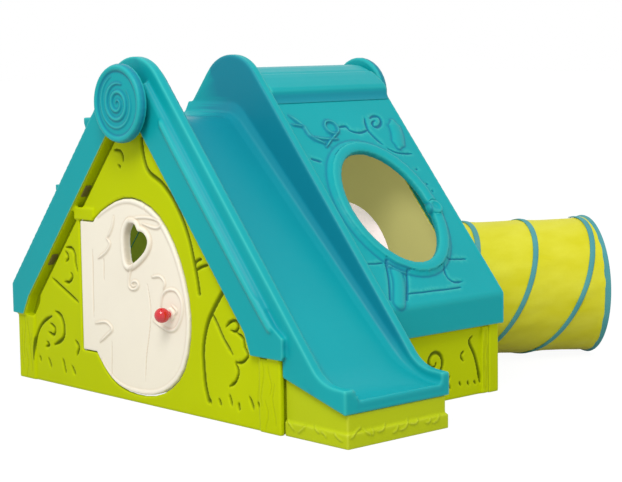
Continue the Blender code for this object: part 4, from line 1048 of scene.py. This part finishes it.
def post_face():
    """The corner post's face, which laps onto the right-hand side wall."""
    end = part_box("right_side_wall")[1][1] - 0.0004
    outside = HALF - 0.0008
    inside = HALF - 0.018
    outline = ((inside, end), (outside, end), (outside, end - POST_LAP), (inside, end - POST_LAP))
    return bar("post_face", [[(x, y, z) for x, y in outline] for z in (0.001, WALL_TOP - 0.004)])


def post_side_lines():
    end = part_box("right_side_wall")[1][1]
    return grain(end - POST_LAP, end, 0.0, WALL_TOP)


def low_walls(material):
    right = moulded("right_low_wall", "right_side_wall", extras=[post_face()])
    carved(right, [(SIDE_PLANE, side_lines(), 0.003), (POST_SIDE_PLANE, post_side_lines(), 0.003)], 0.6)
    dress(right, material)
    left = moulded("left_low_wall", "left_side_wall")
    dress(finish_skin(left), material)


# The tufts of grass on the slide's base, in pixels of FOOT_VIEW, and their size
FRONT_TUFTS = (
    ((218, 805), (250, 845), (266, 872)), ((290, 886), (318, 862), (332, 842)),
    ((378, 840), (396, 868), (414, 888)), ((425, 880), (448, 896), (452, 915)),
    ((500, 888), (522, 916), (548, 935)))
END_TUFTS = (
    ((575, 922), (600, 890), (642, 855)), ((655, 862), (672, 884), (692, 896)),
    ((700, 858), (706, 880), (700, 902)), ((728, 880), (758, 868), (784, 832)),
    ((818, 884), (838, 872), (850, 842)), ((858, 872), (892, 852), (914, 802)),
    ((915, 830), (950, 830), (972, 800)), ((1008, 826), (1028, 822), (1040, 800)),
    ((1050, 828), (1076, 812), (1092, 776)))
TUFT_WIDTH = 0.0075
TUFT_RISE = 0.0036


def foot_box(material):
    box = moulded("slide_foot_box", "slide_base")
    carvings = [(plane, strokes(plane, FOOT_VIEW, (TUFT_WIDTH, TUFT_RISE, True, *tufts)), 0.012)
                for plane, tufts in ((BASE_FRONT_PLANE, FRONT_TUFTS), (BASE_END_PLANE, END_TUFTS))]
    return dress(carved(box, carvings, 0.6), material)


def back_wall(material, inner):
    """The rear wall; its inner face gets painted light, a paler tone that glows."""
    def looks_in(face):
        x, y = face.center.x, face.center.y
        return face.normal.y < -0.5 and y < REAR_WALL_MIDDLE and abs(x) < HALF - INNER_FACE_MARGIN

    wall = finish_skin(moulded("back_wall", "rear_gable"))
    return painted_inner_light(dress(wall, material), inner, looks_in)


# The tunnel

def tunnel_frame(along):
    """The tunnel's centre and heading at a distance along it."""
    start = min(along, HOOP_ROOM)
    turn = min((along - start) / TUNNEL_BEND_RADIUS, TUNNEL_YAW)
    rest = max(along - BEND_END, 0)
    x = TUNNEL_BEND_RADIUS * (1 - math.cos(turn)) + rest * math.sin(turn)
    y = start + TUNNEL_BEND_RADIUS * math.sin(turn) + rest * math.cos(turn)
    part = turn / TUNNEL_YAW
    settled = part**2 * (3 - 2 * part)
    low = HOOP_RADIUS + HOOP_TUBE - TUNNEL_MOUTH.z
    return TUNNEL_MOUTH + Vector((x + settled * TUNNEL_SHIFT, y, settled * low)), turn


def tunnel_point(along, angle, radius):
    centre, turn = tunnel_frame(along)
    side = Vector((math.cos(turn), -math.sin(turn), 0))
    return centre + radius * (math.cos(angle) * Vector((0, 0, 1)) + math.sin(angle) * side)


def spring_along(angle):
    """Where the spiral tape is along the tunnel, after turning through an angle."""
    return (TUNNEL_LENGTH - SPRING_START - SPRING_PITCH * angle / (2 * math.pi)
            - SPRING_LEAN * (1 - math.cos(angle - SPRING_LEAN_TURN)))


def creases(along, angle):
    """The fabric's soft creases, as a height in metres."""
    pull = math.sin(9 * angle + 21 * along) * math.sin(5 * angle - 13 * along + 1.3)
    ripple = math.sin(23 * angle + 38 * along + 0.7) * math.sin(17 * along + 2 * angle)
    return 0.0009 * pull + 0.0006 * ripple


def near_end(along):
    """How near a place is to the tunnel's free end, from 0 where the flare starts to 1."""
    return min(max((along - TUNNEL_LENGTH + FLARE_LENGTH) / FLARE_LENGTH, 0), 1)


def fabric_radius(along, angle):
    """The fabric hangs in a little between two turns of the wire."""
    first = spring_along(angle)
    part = ((first - along) / SPRING_PITCH) % 1.0
    sag = FABRIC_SAG * math.sin(math.pi * part) ** 0.8
    ends = min(1.0, (TUNNEL_LENGTH - along) / 0.03, max(0.0, along) / 0.03)
    if along > TUNNEL_LENGTH - SPRING_START:
        sag = 0.002 * math.sin(math.pi * part)
    widening = near_end(along)
    flare = FLARE * widening**2 * (3 - 2 * widening)
    return TUNNEL_RADIUS + flare - sag * ends + creases(along, angle) * ends - 0.0012


def fabric(name, start, end, inset, material, body="house"):
    """One skin of the tunnel's fabric."""
    around = 224
    steps = max(6, round((end - start) / (0.0045)))
    vertices, faces = [], []
    for i in range(steps + 1):
        along = start + (end - start) * i / steps
        for k in range(around):
            angle = 2 * math.pi * k / around
            vertices.append(tunnel_point(along, angle, fabric_radius(along, angle) - inset))
    for i in range(steps):
        for k in range(around):
            j = (k + 1) % around
            face = (i * around + k, (i + 1) * around + k, (i + 1) * around + j, i * around + j)
            faces.append(face if not inset else face[::-1])
    cloth_piece = mesh_object(name, vertices, faces)
    cloth_piece.data.shade_smooth()
    return dress(cloth_piece, material, body)


def fitted(piece, node, material, body="house"):
    """A smooth piece in the place of a node."""
    piece.data.shade_smooth()
    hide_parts(node)
    return dress(piece, material, body)


# The tape's section, in shares of its half width and in metres over the fabric
TAPE_SECTION = ((-1, 0.0), (-0.9, 0.0016), (-0.45, 0.0022), (0, 0.0030), (0.45, 0.0022), (0.9, 0.0016),
                (1, 0.0), (0, -0.0016))

# A webbing tab's section, in shares of its width and of its thickness
TAB_SECTION = ((0, 0.3), (0.08, 0.9), (0.14, 0.55), (0.22, 1.0), (0.5, 1.0), (0.78, 1.0), (0.86, 0.55),
               (0.92, 0.9), (1, 0.3), (0.5, 0.0))


def tape(material):
    """The flat binding that holds the spiral wire, with a raised middle over the wire."""
    steps = 110
    half = TAPE_WIDTH / 2
    rings = []
    angle = -0.2
    while spring_along(angle) > BEND_END + TAPE_WIDTH * 0.6:
        along = spring_along(angle)
        radius = TUNNEL_RADIUS + FLARE * near_end(along) - 0.0002
        rings.append([tunnel_point(along + part * half, angle, radius + rise) for part, rise in TAPE_SECTION])
        angle += 2 * math.pi / steps
    piece = bar("spiral_tape", rings)
    return fitted(piece, "tunnel_spring", material)


def hoop_binding(name, node, along, width, body, material):
    """Binding folded over an end of the fabric, around the hoop."""
    around = 120
    out = -1 if along < 0.1 else 1
    rings = []
    section = ((0, 0.0056), (0.004, 0.0040), (0.0055, 0.0), (0.004, -0.0045), (-0.004, -0.0058),
               (-width, -0.0048), (-width, -0.0022), (-width * 0.6, 0.0002), (-0.006, 0.0040))
    for k in range(around + 1):
        angle = 2 * math.pi * k / around
        rings.append([tunnel_point(along + out * shift, angle, HOOP_RADIUS + rise)
                      for shift, rise in section])
    piece = bar(name, rings)
    with editing(piece.data) as builder:
        caps = [f for f in builder.faces if len(f.verts) > 4]
        bmesh.ops.delete(builder, geom=caps, context="FACES_ONLY")
        bmesh.ops.remove_doubles(builder, verts=builder.verts, dist=1e-5)
        bmesh.ops.recalc_face_normals(builder, faces=builder.faces)
    return fitted(piece, node, material, body)


def web_tab(node, material):
    """A flat webbing tab in the place of a strap's solid, crowned a little, with its two stitched rows."""
    low, high = (Vector(corner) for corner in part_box(node))
    long_axis = 0 if high.x - low.x > high.z - low.z else 2
    cross = 2 - long_axis
    rings = []
    steps = 24
    for k in range(steps + 1):
        part = k / steps
        section = []
        for t, rise in TAB_SECTION:
            spot = [0.0, 0.0, 0.0]
            spot[long_axis] = low[long_axis] + (high[long_axis] - low[long_axis]) * part
            spot[cross] = low[cross] + (high[cross] - low[cross]) * t
            spot[1] = low.y + (high.y - low.y) * (rise - 0.08 * math.sin(math.pi * 6 * part) ** 2)
            section.append(tuple(spot))
        rings.append(section)
    tab = bar("web_" + node, rings)
    return fitted(tab, node, material)


def tunnel(yellow, lining, teal):
    """The fabric in three lengths, each with its pale lining, the spiral tape and the two bound hoops."""
    start = 0.004
    end = TUNNEL_LENGTH - CUFF
    edge = TUNNEL_LENGTH - 0.004
    outer = fabric("tunnel_fabric", BEND_END, end, 0.0, yellow)
    near = fabric("tunnel_bend_fabric", start, BEND_END, 0.0, yellow)
    outer_lining = fabric("tunnel_lining", BEND_END, end, LINING_INSET, lining)
    near_lining = fabric("tunnel_bend_lining", start, BEND_END, LINING_INSET, lining)
    cuff = fabric("tunnel_cuff", end, edge, 0.0, yellow, "tunnel_end")
    cuff_lining = fabric("tunnel_cuff_lining", end, edge, LINING_INSET, lining, "tunnel_end")
    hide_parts("tunnel_tube")
    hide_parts("tunnel_collar")
    spiral_tape = tape(teal)
    far_binding = hoop_binding("end_binding", "tunnel_end_hoop", TUNNEL_LENGTH, 0.016, "tunnel_end", teal)
    near_binding = hoop_binding("mouth_binding", "tunnel_mouth_hoop", 0.0, 0.010, "house", teal)
    for piece in (outer, outer_lining, spiral_tape):
        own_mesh(piece)
    for node in ("tunnel_strap_left", "tunnel_strap_right", "tunnel_strap_top"):
        web_tab(node, yellow)


# Light and floor

SKY_LEVEL = 0.78
KEY_POWER = 175
FLOOR_GLOW = 1.15
FLOOR_WHITE_SHARE = 0.82


def floor():
    """A pale floor, shown as part white to the camera and in reflections, so that the background is white."""
    made = Maker("pale_floor")
    tone = made.mix(made.noise(2, 3), (192, 192, 192), (188, 188, 188))
    made.fill(made.shader, {"Base Color": tone, "Roughness": 0.9, "Specular IOR Level": 0.0})
    part = made.node("ShaderNodeMath", {0: made.any_ray(), 1: FLOOR_WHITE_SHARE}, operation="MULTIPLY")
    glow = made.node("ShaderNodeEmission", {"Strength": FLOOR_GLOW})
    sources = {0: part.outputs[0], 1: made.shader.outputs[0], 2: glow.outputs[0]}
    mix = made.node("ShaderNodeMixShader", sources)
    made.fill(made.tree.nodes["Material Output"], {"Surface": mix.outputs[0]})
    sheet = mesh_object("floor", [(-40, -40, 0), (40, -40, 0), (40, 40, 0), (-40, 40, 0)], [(0, 1, 2, 3)])
    sheet.location.z = -0.0005
    sheet.data.materials.append(made.material)


def lamp(name, place, target, size, power):
    light = bpy.data.lights.new(name, "AREA")
    light.shape = "DISK"
    light.size = size
    light.energy = power
    thing = link(bpy.data.objects.new(name, light))
    thing.location = place
    thing.rotation_euler = (Vector(target) - Vector(place)).to_track_quat("-Z", "Y").to_euler()


def light():
    world = bpy.data.worlds.new("studio")
    bpy.context.scene.world = world
    world.use_nodes = True
    sky = Nodes(world.node_tree)
    level = sky.spread(sky.any_ray(), SKY_LEVEL, 1.0)
    sky.fill(sky.tree.nodes["Background"], {"Strength": level, "Color": (1, 1, 1, 1)})
    lamp("key", (2.4, -2.9, 4.6), (0.1, 0.5, 0.4), 2.6, KEY_POWER)
    bpy.context.scene.view_settings.view_transform = "Standard"


def main():
    make_camera()
    light()
    floor()
    # Each moulding: its own colour, the painted shade's colour, the painted highlight's colour, roughness and
    # gloss.
    blue = moulding("blue_moulding", (12, 162, 168), (22, 104, 142), (84, 204, 188), 0.36, 0.12)
    green = moulding("green_moulding", (190, 204, 0), (98, 112, 6), (202, 216, 24), 0.42, 0.05, 0.10)
    base_green = moulding("base_moulding", (186, 200, 24), (172, 188, 24), (208, 216, 78), 0.42, 0.06)
    cream = moulding("cream_moulding", (250, 241, 222), (216, 198, 172), (252, 247, 236), 0.42, 0.2, 0.08)
    red = moulding("red_moulding", (208, 6, 26), (140, 0, 20), (220, 30, 50), 0.12, 0.8)
    # Painted light inside the hut: a pale olive copy of the green plastic, which glows.
    inside = moulding("painted_inner_light", (188, 182, 114), (170, 162, 98), (194, 188, 122), 0.5, 0.05, glow=0.36)
    # Painted light under the blue panels: a glowing green tone for the light that the green walls throw back.
    painted_green_bounce = moulding("painted_green_bounce_light", (150, 174, 52), (124, 148, 38), (160, 182, 62), 0.5, 0.05, glow=0.12)
    # Painted shade: the clips take a dark olive-brown tone for the shade in the slots they sit in.
    clip_slot_shade = moulding("clip_dark_slot_tone", (96, 84, 40), (60, 50, 25), (120, 110, 60), 0.5, 0.1)
    steel = metal("zinc_steel_finish", (185, 187, 190))
    yellow = cloth("yellow_cloth", (226, 222, 62), (216, 210, 30))
    # The lining's glow is painted light, for light through the thin fabric.
    lining = cloth("pale_lining", (238, 232, 230), (230, 222, 220), glow=0.42)
    teal = cloth("teal_tape", (92, 166, 170), (76, 152, 160), 0.0016, 0.1, sheen=0.05)

    front_wall(green)
    back_wall(green, inside)
    low_walls(green)
    door_leaf(cream)
    slide(blue)
    climbing_side(blue, painted_green_bounce)
    roof_panel("right_roof", "right_roof_panel", 1, ROOF_PLANE, blue, inside)
    roof_panel("left_roof", "left_roof_panel", -1, LEFT_ROOF_PLANE, blue, painted_green_bounce)
    ridge(blue)
    rosette("front_boss", "front_rosette", ROSETTE_PLANE, blue)
    rosette("rear_boss", "rear_rosette", REAR_ROSETTE_PLANE, blue)
    foot_box(base_green)
    tunnel(yellow, lining, teal)

    knob = moulded("knob_ball", "door_knob", KNOB_CELL, 3)
    dress(finish_skin(knob), red, "door")
    for node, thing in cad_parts.items():
        if any(word in node for word in ("screw", "pin", "stud")):
            paint(thing, steel)
        elif "clip" in node:
            # The clips get the painted slot shade.
            paint(thing, clip_slot_shade)


main()
